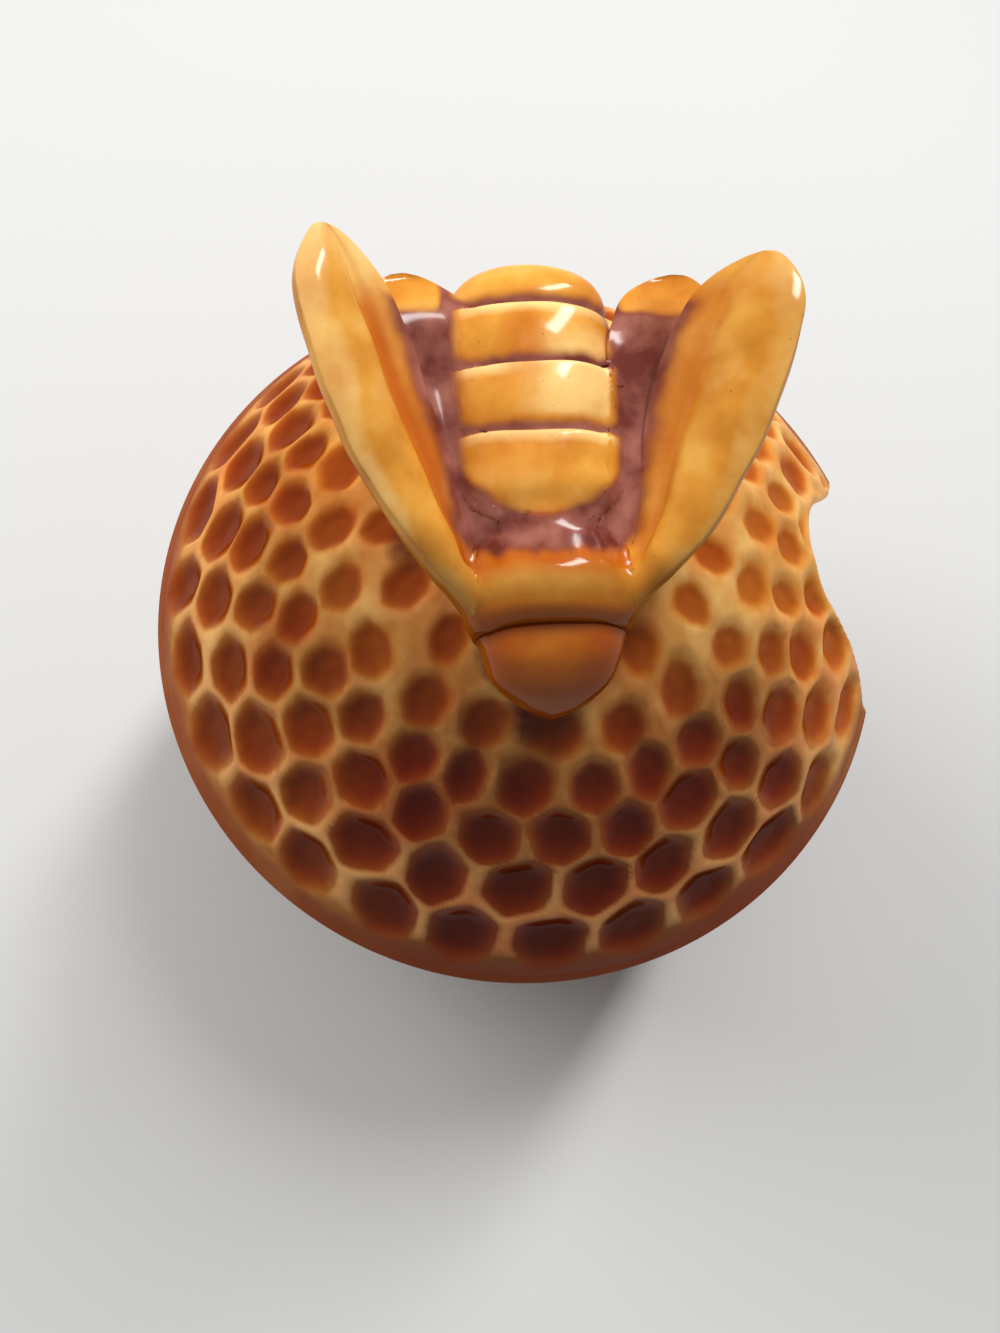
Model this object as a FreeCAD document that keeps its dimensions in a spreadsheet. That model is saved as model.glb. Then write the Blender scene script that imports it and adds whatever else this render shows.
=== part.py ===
import FreeCAD, Part
import math
import os
import re

import Sketcher

# Glazed honey pot: a small bellied bowl and a lift-off beehive lid. The lid is covered in rows of
# sunk honeycomb cells, has an arched notch for the handle of a dipper, and carries a bee as its knob.
# The origin is at the centre of the foot ring, on the surface that the pot stands on. +Z is up, the
# bee looks towards -Y, and the notch opens towards +X. Lengths are in millimetres, angles in degrees.

# Driving sizes: the name of each cell, and its plain value
SIZES = {
    # Bowl: its belly is part of a circle in section, on a foot ring, under a short upright neck
    "belly_radius": 45.0,
    "belly_height": 35.0,
    "belly_step": 18.0,
    "bowl_wall": 4.0,
    "bowl_floor": 4.5,
    "foot_height": 3.0,
    "foot_recess": 1.6,
    "foot_ring": 4.0,
    "neck_inset": 6.6,
    "neck_length": 3.5,
    "mouth_wall": 3.6,
    # Lid: in section a long arc up from the rim and a short arc over the crown, tangent to each other
    "rim_cover": 6.6,
    "lid_wall": 3.6,
    "side_arc": 90.0,
    "rim_slope": 63.0,
    "band_turn": 2.6,
    "crown_turn": 0.8,
    "comb_top_turn": 4.0,
    "crown_flat": 7.0,
    "rim_drop": 2.0,
    "seat_gap": 0.2,
    "web_thickness": 3.2,
    "collar_gap": 0.5,
    "collar_wall": 3.0,
    "collar_drop": 5.5,
    # Honeycomb: how much flatter the lid gets from the rim to the middle of the first row and from
    # there to each next one, and the number of cells round it
    "row_turn_1": 6.0,
    "row_turn_2": 5.5,
    "row_turn_3": 4.7,
    "row_turn_4": 4.1,
    "row_turn_5": 3.9,
    "cells_low": 27,
    "cells_high": 20,
    "cell_turn_low": 5.3,
    "cell_turn_high": 0.7,
    "ridge_width": 2.0,
    "cell_depth": 1.1,
    "cell_draft": 30.0,
    # Notch: an arch with slanting flanks, seen along its own direction
    "notch_turn": 3.0,
    "notch_height": 21.0,
    "notch_top_radius": 6.8,
    "notch_flank": 62.0,
    # Bee: where it sits on the crown, and its body along a rising line
    "bee_shift": -1.9,
    "bee_turn": 1.5,
    "bee_pitch": 9.0,
    "body_rise": 4.6,
    "abdomen_front": 6.4,
    "abdomen_length": 23.2,
    "abdomen_radius": 6.4,
    "thorax_place": 10.0,
    "thorax_rise": 3.6,
    "thorax_length": 8.0,
    "thorax_radius": 6.3,
    "head_place": 12.0,
    "head_rise": 1.5,
    "head_droop": 34.0,
    "head_length": 9.2,
    "head_radius": 6.1,
    # Forewings: thick blades that rise backwards and tip inwards
    "wing_length": 29.0,
    "wing_width": 7.6,
    "wing_edge_radius": 45.0,
    "wing_tip_ease": 0.1,
    "wing_thickness": 4.4,
    "wing_out": 4.1,
    "wing_front": 14.0,
    "wing_rise": 3.7,
    "wing_sweep": 28.8,
    "wing_climb": 26.7,
    "wing_tilt": 28.2,
    # Hindwings: shorter blades that fill the valleys between the forewings and the abdomen
    "hindwing_length": 17.0,
    "hindwing_width": 6.4,
    "hindwing_tip_ease": 0.7,
    "hindwing_thickness": 3.0,
    "hindwing_out": 4.5,
    "hindwing_front": 4.0,
    "hindwing_rise": 6.3,
    "hindwing_sweep": 21.2,
    "hindwing_climb": 12.8,
    "hindwing_tilt": 20.0,
    # Cutting tools stand this far outside what they cut
    "overrun": 0.6,
}

# Shares of each limb's length and radius along its line. The abdomen steps in at each of its bands,
# from the waist to the tail.
BAND_SHARES = (
    ((0.0, 1.0), (0.315, 1.0)),
    ((0.315, 0.965), (0.555, 0.965)),
    ((0.555, 0.93), (0.78, 0.93)),
    ((0.78, 0.89), (0.89, 0.80), (1.0, 0.34)),
)
THORAX_SHARES = ((0.0, 0.76), (0.24, 1.0), (0.76, 1.0), (1.0, 0.80))
HEAD_SHARES = ((0.0, 1.0), (0.36, 1.0), (0.72, 0.72), (1.0, 0.25))

# Shares of a wing's width that lie inside and outside its line, at its root and at its tip
ROOT_INSIDE_SHARE = 0.42
ROOT_OUTSIDE_SHARE = 0.12
TIP_SHARE = 0.5

doc = FreeCAD.newDocument("honey_pot")
sheet = doc.addObject("Spreadsheet::Sheet", "size")
for row, (alias, value) in enumerate(SIZES.items(), start=1):
    sheet.set(f"A{row}", alias)
    sheet.set(f"B{row}", str(value))
    sheet.setAlias(f"B{row}", alias)
doc.recompute()

NAMES = re.compile(r"\b(" + "|".join(SIZES) + r")\b")


def bound(formula):
    """The formula with the sheet's name put before each of its cells."""
    return NAMES.sub(r"size.\1", formula)


def value_of(formula):
    """The number that a formula of cells comes to."""
    return float(sheet.evalExpression(bound(formula)))


def pose(x="0", y="0", z="0", yaw="0", pitch="0", roll="0"):
    """A place and a turn, written as one formula."""
    vector = f"create(<<vector>>; {x}; {y}; {z})"
    return f"create(<<placement>>; {vector}; create(<<rotation>>; {yaw}; {pitch}; {roll}))"


def new_body(name, place):
    body = doc.addObject("PartDesign::Body", name)
    body.setExpression("Placement", bound(place))
    return body


def origin_item(body, role):
    return next(item for item in body.Origin.OriginFeatures if item.Role == role)


def hold(sketch, kind, geometry, end, formula):
    """Sets how far one end of a sketch line lies from the origin, along one axis."""
    number = value_of(formula)
    if math.isclose(number, 0, abs_tol=1e-9):
        axis = -2 if kind == "DistanceX" else -1
        sketch.addConstraint(Sketcher.Constraint("PointOnObject", geometry, end, axis))
    elif number > 0:
        index = sketch.addConstraint(Sketcher.Constraint(kind, -1, 1, geometry, end, number))
        sketch.setExpression(f"Constraints[{index}]", bound(formula))
    else:
        index = sketch.addConstraint(Sketcher.Constraint(kind, geometry, end, -1, 1, -number))
        sketch.setExpression(f"Constraints[{index}]", bound(f"-({formula})"))


def outward_arc(start, end, radius):
    """The short arc between two corners of a counterclockwise outline that swells out of it."""
    chord = end - start
    to_left = FreeCAD.Vector(-chord.y, chord.x, 0).normalize()
    centre = (start + end) * 0.5 + to_left * math.sqrt(max(radius**2 - (chord.Length / 2) ** 2, 0))
    angles = [math.atan2(point.y - centre.y, point.x - centre.x) for point in (start, end)]
    return Part.ArcOfCircle(Part.Circle(centre, FreeCAD.Vector(0, 0, 1), radius), *angles)


def outline(body, name, corners, plane="XZ_Plane", arcs=None, offset=None):
    """A closed counterclockwise outline. Corners are pairs of formulas, and arcs gives the radius
    of each side that is an arc, by its place in the list."""
    arcs = arcs or {}
    sketch = body.newObject("Sketcher::SketchObject", name)
    sketch.AttachmentSupport = [(origin_item(body, plane), "")]
    sketch.MapMode = "FlatFace"
    if offset:
        sketch.setExpression("AttachmentOffset", bound(offset))
    points = [FreeCAD.Vector(value_of(x), value_of(y), 0) for x, y in corners]
    for side, (start, end) in enumerate(zip(points, points[1:] + points[:1])):
        if side in arcs:
            sketch.addGeometry(outward_arc(start, end, value_of(arcs[side])), False)
        else:
            sketch.addGeometry(Part.LineSegment(start, end), False)
    for side, (x, y) in enumerate(corners):
        following = (side + 1) % len(corners)
        sketch.addConstraint(Sketcher.Constraint("Coincident", side, 2, following, 1))
        hold(sketch, "DistanceX", side, 1, x)
        hold(sketch, "DistanceY", side, 1, y)
    for side, radius in arcs.items():
        index = sketch.addConstraint(Sketcher.Constraint("Radius", side, value_of(radius)))
        sketch.setExpression(f"Constraints[{index}]", bound(radius))
    return sketch


def revolved(body, name, corners, plane="XZ_Plane", axis="V_Axis"):
    profile = outline(body, f"{name}_profile", corners, plane)
    turned = body.newObject("PartDesign::Revolution", name)
    turned.Profile = profile
    turned.ReferenceAxis = (profile, [axis])
    turned.Angle = 360
    profile.Visibility = False
    body.Tip = turned
    return turned


# The neck stands in from the belly, and the lid's rim reaches out over the neck
NECK_RADIUS = "(belly_radius - neck_inset)"
LID_RADIUS = f"({NECK_RADIUS} + rim_cover)"
NECK_FOOT = f"(belly_height + sqrt(belly_radius^2 - {NECK_RADIUS}^2))"
MOUTH_HEIGHT = f"({NECK_FOOT} + neck_length)"
RIM_HEIGHT = f"({MOUTH_HEIGHT} - rim_drop)"

# Places on the lid's section, as formulas: distance from the axis and height above the rim
ARC_OUT = f"({LID_RADIUS} - side_arc * sin(rim_slope))"
ARC_DOWN = "(side_arc * cos(rim_slope))"


def side_point(slope, inset="0"):
    """The place on the long arc where the lid has this slope, or inside it by an inset."""
    reach = f"(side_arc - {inset})"
    return f"({ARC_OUT} + {reach} * sin({slope}))", f"({reach} * cos({slope}) - {ARC_DOWN})"


def inner_radius(height):
    """How far the lid's inner wall is from the axis at a height above the rim."""
    return f"({ARC_OUT} + sqrt((side_arc - lid_wall)^2 - ({height} + {ARC_DOWN})^2))"


ROW_SLOPES = []
for number in range(1, 6):
    lower_slope = ROW_SLOPES[-1] if ROW_SLOPES else "rim_slope"
    ROW_SLOPES.append(f"({lower_slope} - row_turn_{number})")
LOW_COURSE_SLOPE = f"(({ROW_SLOPES[1]} + {ROW_SLOPES[2]}) / 2)"
HIGH_COURSE_SLOPE = f"(({ROW_SLOPES[3]} + {ROW_SLOPES[4]}) / 2)"
CROWN_SLOPE = f"({ROW_SLOPES[-1]} - crown_turn)"
CROWN_ARC = f"({side_point(CROWN_SLOPE)[0]} / sin({CROWN_SLOPE}))"
CROWN_DOWN = f"({CROWN_ARC} * cos({CROWN_SLOPE}) - {side_point(CROWN_SLOPE)[1]})"
CROWN_TOP = f"(sqrt({CROWN_ARC}^2 - crown_flat^2) - {CROWN_DOWN})"
COMB_TOP_SLOPE = f"({CROWN_SLOPE} - comb_top_turn)"
COMB_TOP = (
    f"({CROWN_ARC} * sin({COMB_TOP_SLOPE}))",
    f"({CROWN_ARC} * cos({COMB_TOP_SLOPE}) - {CROWN_DOWN})",
)
OUTER_COURSES = [
    (LID_RADIUS, "0"),
    side_point("(rim_slope - band_turn)"),
    side_point(LOW_COURSE_SLOPE),
    side_point(HIGH_COURSE_SLOPE),
    COMB_TOP,
    ("crown_flat", CROWN_TOP),
    ("0", CROWN_TOP),
]

LID = pose(z=RIM_HEIGHT)
BEE = f"{LID} * {pose(x='bee_shift', z=CROWN_TOP, yaw='bee_turn')}"


def belly_point(steps, inset="0"):
    """The place on the belly's circle a number of steps above its widest line."""
    reach = f"(belly_radius - {inset})"
    angle = f"({steps} * belly_step)"
    return f"({reach} * cos({angle}))", f"(belly_height + {reach} * sin({angle}))"


def make_bowl():
    """The bowl, turned in one profile: foot ring, belly in courses, neck, mouth and inside."""
    body = new_body("pot_bowl", pose())
    foot = "sqrt(belly_radius^2 - (belly_height - foot_height)^2)"
    floor = "(foot_recess + bowl_floor)"
    mouth = f"({NECK_RADIUS} - mouth_wall)"
    mouth_foot = f"(belly_height + sqrt((belly_radius - bowl_wall)^2 - {mouth}^2))"
    well = f"sqrt((belly_radius - bowl_wall)^2 - (belly_height - {floor})^2)"
    corners = [
        ("0", "foot_recess"),
        (f"{foot} - foot_ring", "foot_recess"),
        (f"{foot} - foot_ring", "0"),
        (foot, "0"),
        (foot, "foot_height"),
        belly_point("-1.5"),
        belly_point("-0.5"),
        belly_point("0.5"),
        (NECK_RADIUS, NECK_FOOT),
        (NECK_RADIUS, MOUTH_HEIGHT),
        (mouth, MOUTH_HEIGHT),
        (mouth, mouth_foot),
        belly_point("0.5", "bowl_wall"),
        belly_point("-0.5", "bowl_wall"),
        belly_point("-1.5", "bowl_wall"),
        (well, floor),
        ("0", floor),
    ]
    revolved(body, "bowl_wall_turned", corners)
    return body


def cut_row(body, name, slope, below, above, count, turn):
    """One row of tapered six-sided cells, sunk square to the lid where it has this slope. The
    slopes of the rows below and above give the cells their length."""
    out, up = side_point(slope, "-overrun")
    flare = "overrun * tan(cell_draft)"
    half_width = f"(({side_point(slope)[0]} * pi / {count}) - ridge_width / 2 + {flare})"
    spacing = f"(side_arc * ({below} - {above}) * pi / 360)"
    point = f"({spacing} * 2 / 3 - ridge_width / sqrt(3) + {flare})"
    shoulder = f"({point} / 2)"
    corners = [
        (point, "0"),
        (shoulder, half_width),
        (f"-{shoulder}", half_width),
        (f"-{point}", "0"),
        (f"-{shoulder}", f"-{half_width}"),
        (shoulder, f"-{half_width}"),
    ]
    place = pose(f"{out} * cos({turn})", f"{out} * sin({turn})", up, turn, slope)
    cell = outline(body, f"{name}_cell", corners, "XY_Plane", offset=place)
    pocket = body.newObject("PartDesign::Pocket", f"{name}_pocket")
    pocket.Profile = cell
    pocket.setExpression("Length", bound("overrun + cell_depth"))
    pocket.setExpression("TaperAngle", bound("-cell_draft"))
    ring = body.newObject("PartDesign::PolarPattern", f"{name}_ring")
    ring.Originals = [pocket]
    ring.Axis = (origin_item(body, "Z_Axis"), [""])
    ring.Angle = 360
    ring.setExpression("Occurrences", bound(count))
    body.Tip = ring
    cell.Visibility = False


def cut_notch(body):
    """The arch through the rim: slanting flanks that run into a round top."""
    side = "(notch_top_radius * sin(notch_flank))"
    side_up = "(notch_height - notch_top_radius + notch_top_radius * cos(notch_flank))"
    foot = f"({side} + {side_up} / tan(notch_flank))"
    under = "(-collar_drop)"
    corners = [
        (f"-{foot}", under),
        (foot, under),
        (foot, "0"),
        (side, side_up),
        ("0", "notch_height"),
        (f"-{side}", side_up),
        (f"-{foot}", "0"),
    ]
    arch = outline(body, "notch_arch", corners, "YZ_Plane",
                   {3: "notch_top_radius", 4: "notch_top_radius"}, pose(pitch="notch_turn"))
    notch = body.newObject("PartDesign::Pocket", "notch")
    notch.Profile = arch
    notch.Type = "ThroughAll"
    notch.Reversed = True
    body.Tip = notch
    arch.Visibility = False


def make_lid():
    """The lid's shell in courses, two rows of cells to a course, with the web that rests on the
    mouth and the collar that keeps the lid in place on it."""
    body = new_body("lid_dome", LID)
    web_under = "(rim_drop + seat_gap)"
    web_top = "(rim_drop + seat_gap + web_thickness)"
    collar_out = f"({NECK_RADIUS} - mouth_wall - collar_gap)"
    collar_in = f"({collar_out} - collar_wall)"
    collar_low = "(rim_drop + seat_gap - collar_drop)"
    corners = OUTER_COURSES + [
        ("0", f"({CROWN_TOP} - lid_wall)"),
        ("crown_flat", f"({CROWN_TOP} - lid_wall)"),
        side_point(CROWN_SLOPE, "lid_wall"),
        side_point(LOW_COURSE_SLOPE, "lid_wall"),
        (inner_radius(web_top), web_top),
        (collar_in, web_top),
        (collar_in, collar_low),
        (collar_out, collar_low),
        (collar_out, web_under),
        (inner_radius(web_under), web_under),
        (inner_radius("0"), "0"),
    ]
    revolved(body, "lid_shell_turned", corners)
    below = [f"(2 * {ROW_SLOPES[0]} - {ROW_SLOPES[1]})"] + ROW_SLOPES[:-1]
    above = ROW_SLOPES[1:] + [f"(2 * {ROW_SLOPES[-1]} - {ROW_SLOPES[-2]})"]
    half_cell = "(cell_turn_low + 180 / cells_low)"
    turns = ["cell_turn_low", half_cell, "cell_turn_low", half_cell, "cell_turn_high"]
    counts = ["cells_low"] * 4 + ["cells_high"]
    for number, row in enumerate(zip(ROW_SLOPES, below, above, counts, turns), start=1):
        cut_row(body, f"row_{number}", *row)
    cut_notch(body)
    return body


def make_crown_form():
    """The lid's outer form without cells, which gives the bee's pieces the seat they are cut to."""
    body = new_body("crown_form", LID)
    revolved(body, "crown_form_turned", [("0", "0")] + OUTER_COURSES)
    return body


def turned_limb(name, seat, length, radius, shares):
    """A part of the bee turned about its own line, from shares of its length and radius."""
    body = new_body(f"{name}_blank", f"{BEE} * {seat}")
    rim = [(f"{length} * {along}", f"{radius} * {out}") for along, out in shares]
    corners = [(rim[-1][0], "0")] + rim[::-1] + [(rim[0][0], "0")]
    corners = corners[::-1]
    revolved(body, f"{name}_turned", corners, "XY_Plane", "H_Axis")
    return body


def blade(name, side, kind):
    """One wing, padded down from its top face: a straight inner edge, a swelling outer edge and a
    round tip. Side is 1 for the wing on the bee's left seen from above, -1 for the other."""
    length, width = f"{kind}_length", f"{kind}_width"
    yaw = f"(90 + {side} * {kind}_sweep)"
    place = pose(f"(-{side} * {kind}_out)", f"(-{kind}_front)", f"{kind}_rise", yaw,
                 f"(-{kind}_climb)", f"({side} * {kind}_tilt)")
    body = new_body(f"{name}_blank", f"{BEE} * {place}")
    corners = [
        ("0", f"(-{width} * {ROOT_INSIDE_SHARE})"),
        (length, f"(-{width} * {TIP_SHARE})"),
        (length, f"({width} * {TIP_SHARE})"),
        ("0", f"({width} * {ROOT_OUTSIDE_SHARE})"),
    ]
    if side < 0:
        corners = [(x, f"(-1 * {y})") for x, y in corners][::-1]
    swelling = 2 if side > 0 else 0
    arcs = {1: f"({width} * {TIP_SHARE} + {kind}_tip_ease)", swelling: "wing_edge_radius"}
    top = outline(body, f"{name}_outline", corners, "XY_Plane", arcs)
    pad = body.newObject("PartDesign::Pad", f"{name}_pad")
    pad.Profile = top
    pad.setExpression("Length", bound(f"{kind}_thickness"))
    pad.Reversed = True
    body.Tip = pad
    top.Visibility = False
    return body


def seated(name, blank, neighbours):
    """The piece as it is pressed on: what its neighbours fill is cut away from it."""
    piece = blank
    for number, neighbour in enumerate(neighbours, start=1):
        trimmed = doc.addObject("Part::Cut", f"{name}_seat_{number}")
        trimmed.Base = piece
        trimmed.Tool = neighbour
        piece = trimmed
    return piece


bowl = make_bowl()
lid = make_lid()
crown = make_crown_form()

rising = "(-bee_pitch)"
thorax_front = "(-(thorax_place + thorax_length / 2))"
thorax_seat = pose(y=thorax_front, z="thorax_rise", yaw="90", pitch=rising)
thorax = turned_limb("bee_thorax", thorax_seat, "thorax_length", "thorax_radius", THORAX_SHARES)
head_seat = pose(y="(-head_place)", z="head_rise", yaw="-90", pitch="head_droop")
head = turned_limb("bee_head", head_seat, "head_length", "head_radius", HEAD_SHARES)
abdomen_rise = "(body_rise - abdomen_front * tan(bee_pitch))"
abdomen_seat = pose(y="(-abdomen_front)", z=abdomen_rise, yaw="90", pitch=rising)
bands = [point for band in BAND_SHARES for point in band]
abdomen = turned_limb("bee_abdomen", abdomen_seat, "abdomen_length", "abdomen_radius", bands)

pieces = {"pot_bowl": bowl, "lid_dome": lid}
pieces["bee_thorax"] = seated("bee_thorax", thorax, [crown])
pieces["bee_head"] = seated("bee_head", head, [crown, pieces["bee_thorax"]])
pieces["bee_abdomen"] = seated("bee_abdomen", abdomen, [crown, pieces["bee_thorax"]])
body_of_bee = [pieces[name] for name in ("bee_thorax", "bee_head", "bee_abdomen")]
for hand, side in (("left", 1), ("right", -1)):
    hindwing = f"bee_hindwing_{hand}"
    forewing = f"bee_forewing_{hand}"
    pieces[hindwing] = seated(hindwing, blade(hindwing, side, "hindwing"), [crown] + body_of_bee)
    neighbours = [crown] + body_of_bee + [pieces[hindwing]]
    pieces[forewing] = seated(forewing, blade(forewing, side, "wing"), neighbours)
for node, piece in pieces.items():
    piece.Label = node
doc.recompute()

for item in doc.Objects:
    if "Invalid" in item.State or "Error" in item.State:
        raise RuntimeError(f"{item.Label} did not build: {item.State}")
os.makedirs("parts", exist_ok=True)
for node, piece in pieces.items():
    shape = piece.Shape
    if shape.isNull() or not shape.isValid():
        raise RuntimeError(f"{node} has no sound shape")
    shape.exportStep(f"parts/{node}.step")
    print(node, len(shape.Solids), round(shape.Volume, 1))
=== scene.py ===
import math
from collections import namedtuple

import bmesh
import bpy
import numpy as np
from mathutils import Matrix, Vector
from mathutils.bvhtree import BVHTree


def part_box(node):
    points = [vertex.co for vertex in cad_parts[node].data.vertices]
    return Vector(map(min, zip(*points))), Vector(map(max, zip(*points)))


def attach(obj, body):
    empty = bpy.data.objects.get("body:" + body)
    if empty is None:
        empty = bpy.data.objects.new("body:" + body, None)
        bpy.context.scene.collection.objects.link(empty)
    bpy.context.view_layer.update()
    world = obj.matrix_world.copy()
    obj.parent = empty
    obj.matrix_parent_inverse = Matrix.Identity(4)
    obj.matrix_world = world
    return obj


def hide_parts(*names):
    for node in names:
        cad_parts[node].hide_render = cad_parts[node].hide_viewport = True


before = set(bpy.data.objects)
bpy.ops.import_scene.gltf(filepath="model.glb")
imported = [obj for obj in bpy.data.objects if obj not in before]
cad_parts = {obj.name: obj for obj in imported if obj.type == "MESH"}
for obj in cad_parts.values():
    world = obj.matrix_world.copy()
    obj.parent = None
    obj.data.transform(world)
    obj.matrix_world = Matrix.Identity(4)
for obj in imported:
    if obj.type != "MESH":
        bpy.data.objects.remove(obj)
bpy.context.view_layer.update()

# Glazed honey pot. Lengths in this script are in millimetres unless a name ends in _M.
# The lid's own frame has its origin in the middle of the rim's plane, +Z up, the bee looking
# towards -Y and the notch towards +X, as in the frame that is loaded.
# A pair of numbers that is handed to smooth() is where a soft step starts and ends.
MM = 0.001
FULL_TURN = 2 * math.pi
BODY_POT, BODY_LID = "pot", "lid"


def millimetres(corner):
    return np.array(corner, float) / MM


lid_low, lid_high = (millimetres(corner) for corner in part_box("lid_dome"))
pot_low, pot_high = (millimetres(corner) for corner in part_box("pot_bowl"))

# The lid's section: a long arc from the rim and a short arc over the crown, tangent to each other
LID_R = round((lid_high[1] - lid_low[1]) / 2)
RIM_DROP = 2.0
RIM_Z = pot_high[2] - RIM_DROP
RIM_Z_M = float(RIM_Z * MM)
WALL = 3.6
SIDE_ARC = 2 * LID_R
RIM_SLOPE, CROWN_SLOPE = math.radians(63), math.radians(38)
SIDE_OUT = LID_R - SIDE_ARC * math.sin(RIM_SLOPE)
SIDE_DOWN = SIDE_ARC * math.cos(RIM_SLOPE)
CROWN_ARC = (SIDE_OUT + SIDE_ARC * math.sin(CROWN_SLOPE)) / math.sin(CROWN_SLOPE)
CROWN_DOWN = SIDE_DOWN - (SIDE_ARC - CROWN_ARC) * math.cos(CROWN_SLOPE)

# The bowl's neck and mouth, and the lid's collar and web that centre it there
NECK_R, MOUTH_R = 38.4, 34.8
COLLAR_GAP, COLLAR_THICK, COLLAR_LONG = 0.5, 3.0, 5.5
COLLAR_OUT = MOUTH_R - COLLAR_GAP
COLLAR_IN = COLLAR_OUT - COLLAR_THICK
WEB_GAP, WEB_THICK = 0.2, 3.2
WEB_LOW = RIM_DROP + WEB_GAP
WEB_HIGH = WEB_LOW + WEB_THICK
COLLAR_LOW = WEB_LOW - COLLAR_LONG

# The curve of a screen's colours: a straight foot and a power above it
SCREEN_WHITE = 255
SCREEN_FOOT, SCREEN_FOOT_SLOPE = 0.04045, 12.92
SCREEN_OFFSET, SCREEN_POWER = 0.055, 2.4


def srgb(red, green, blue):
    """A colour given as it looks on a screen, from 0 to 255, as the shader wants it."""
    values = np.array((red, green, blue)) / SCREEN_WHITE
    above = ((values + SCREEN_OFFSET) / (1 + SCREEN_OFFSET)) ** SCREEN_POWER
    linear = np.where(values <= SCREEN_FOOT, values / SCREEN_FOOT_SLOPE, above)
    return (*linear.tolist(), 1.0)


def smooth(low, high, value):
    """0 at low, 1 at high, and a soft step between, which falls where high is the smaller."""
    share = np.clip((value - low) / (high - low), 0, 1)
    return share * share * (3 - 2 * share)


def fade(low, high, value):
    """1 at low, 0 at high, and a soft step between."""
    return 1 - smooth(low, high, value)


def arched(value):
    """1 where the value is 0, and nothing at -1 and 1."""
    return np.clip(1 - value * value, 0, 1)


def bell(value, width):
    """1 where the value is 0, and soon nothing beyond this width."""
    return np.exp(-((value / width) ** 2))


WAVE_COUNT = 14
WAVE_LENGTH_SHARES = (0.8, 1.7)


def waves(points, length, seed):
    """A smooth random number at each point, mostly from -1 to 1, that changes over about this length."""
    source = np.random.default_rng(seed)
    total = np.zeros(len(points))
    for _ in range(WAVE_COUNT):
        way = source.normal(size=3)
        way *= FULL_TURN / (length * source.uniform(*WAVE_LENGTH_SHARES) * np.linalg.norm(way))
        total += np.sin(points @ way + source.uniform(0, FULL_TURN))
    return total / math.sqrt(WAVE_COUNT)


# Meshes

SHARP_DEGREES, BEE_SHARP_DEGREES = 50, 60


def grid_faces(rows, columns):
    """Quads between rows of points, each row closed into a ring."""
    row = np.arange(rows - 1)[:, None] * columns
    column = np.arange(columns)[None, :]
    following = (column + 1) % columns
    quads = [row + column, row + following, row + columns + following, row + columns + column]
    return np.stack(quads, -1).reshape(-1, 4).tolist()


def add_object(name, data):
    thing = bpy.data.objects.new(name, data)
    bpy.context.scene.collection.objects.link(thing)
    return thing


def new_mesh(name, points, faces):
    """A mesh object from points in millimetres."""
    mesh = bpy.data.meshes.new(name)
    mesh.from_pydata((np.asarray(points) * MM).tolist(), [], [list(map(int, face)) for face in faces])
    mesh.validate()
    return add_object(name, mesh)


def points_of(thing):
    flat = np.zeros(len(thing.data.vertices) * 3)
    thing.data.vertices.foreach_get("co", flat)
    return flat.reshape(-1, 3) / MM


def set_points(thing, points):
    thing.data.vertices.foreach_set("co", (points * MM).ravel())
    thing.data.update()


def give(thing, **values):
    """Stores a number per point for the material, under each name."""
    for name, value in values.items():
        numbers = thing.data.attributes.get(name) or thing.data.attributes.new(name, "FLOAT", "POINT")
        numbers.data.foreach_set("value", np.asarray(value, np.float32))


def held(thing, name):
    """The number that each point holds under this name."""
    numbers = np.zeros(len(thing.data.vertices), np.float32)
    thing.data.attributes[name].data.foreach_get("value", numbers)
    return numbers.astype(float)


def outward(thing):
    """Turns the faces so that they look out of the solid."""
    work = bmesh.new()
    work.from_mesh(thing.data)
    bmesh.ops.recalc_face_normals(work, faces=work.faces)
    work.to_mesh(thing.data)
    work.free()
    return thing


def turned(name, profile, columns):
    """A solid turned about the Z axis from pairs of distance and height, closed at both ends."""
    turn = np.linspace(0, FULL_TURN, columns, endpoint=False)
    out, up = profile[:, 0, None], profile[:, 1, None]
    points = np.stack([out * np.cos(turn), out * np.sin(turn), np.repeat(up, columns, 1)], -1)
    first = list(range(columns))
    last = [(len(profile) - 1) * columns + place for place in reversed(first)]
    return outward(new_mesh(name, points.reshape(-1, 3), grid_faces(len(profile), columns) + [first, last]))


def dress(thing, nodes, body, material, sharp=SHARP_DEGREES):
    """Places the piece on its body in place of its CAD nodes, with its material. Edges are smooth up to
    an angle of this many degrees."""
    thing.data.materials.clear()
    thing.data.materials.append(material)
    thing.data.shade_smooth()
    thing.data.set_sharp_from_angle(angle=math.radians(sharp))
    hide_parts(*nodes)
    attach(thing, body)
    return thing


# Distances between pieces

TOUCHING = 1e-6
FILLET_STEPS = 4
FILLET_OVERLAP = 0.35
FILLET_STEEPEST = 0.3


def tree_of(thing):
    """The piece as a search tree for its nearest surface."""
    faces = [tuple(face.vertices) for face in thing.data.polygons]
    return BVHTree.FromPolygons(points_of(thing).tolist(), faces)


def outside(tree, place, limit):
    """How far a place is outside a closed piece, and the way out of it. Nothing beyond the limit."""
    near, normal, _, distance = tree.find_nearest(place, limit)
    if near is None:
        return limit, None
    if distance < TOUCHING:
        return 0.0, normal
    away = place - near
    inside = away.dot(normal) < 0
    return (-distance, -away / distance) if inside else (distance, away / distance)


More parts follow.
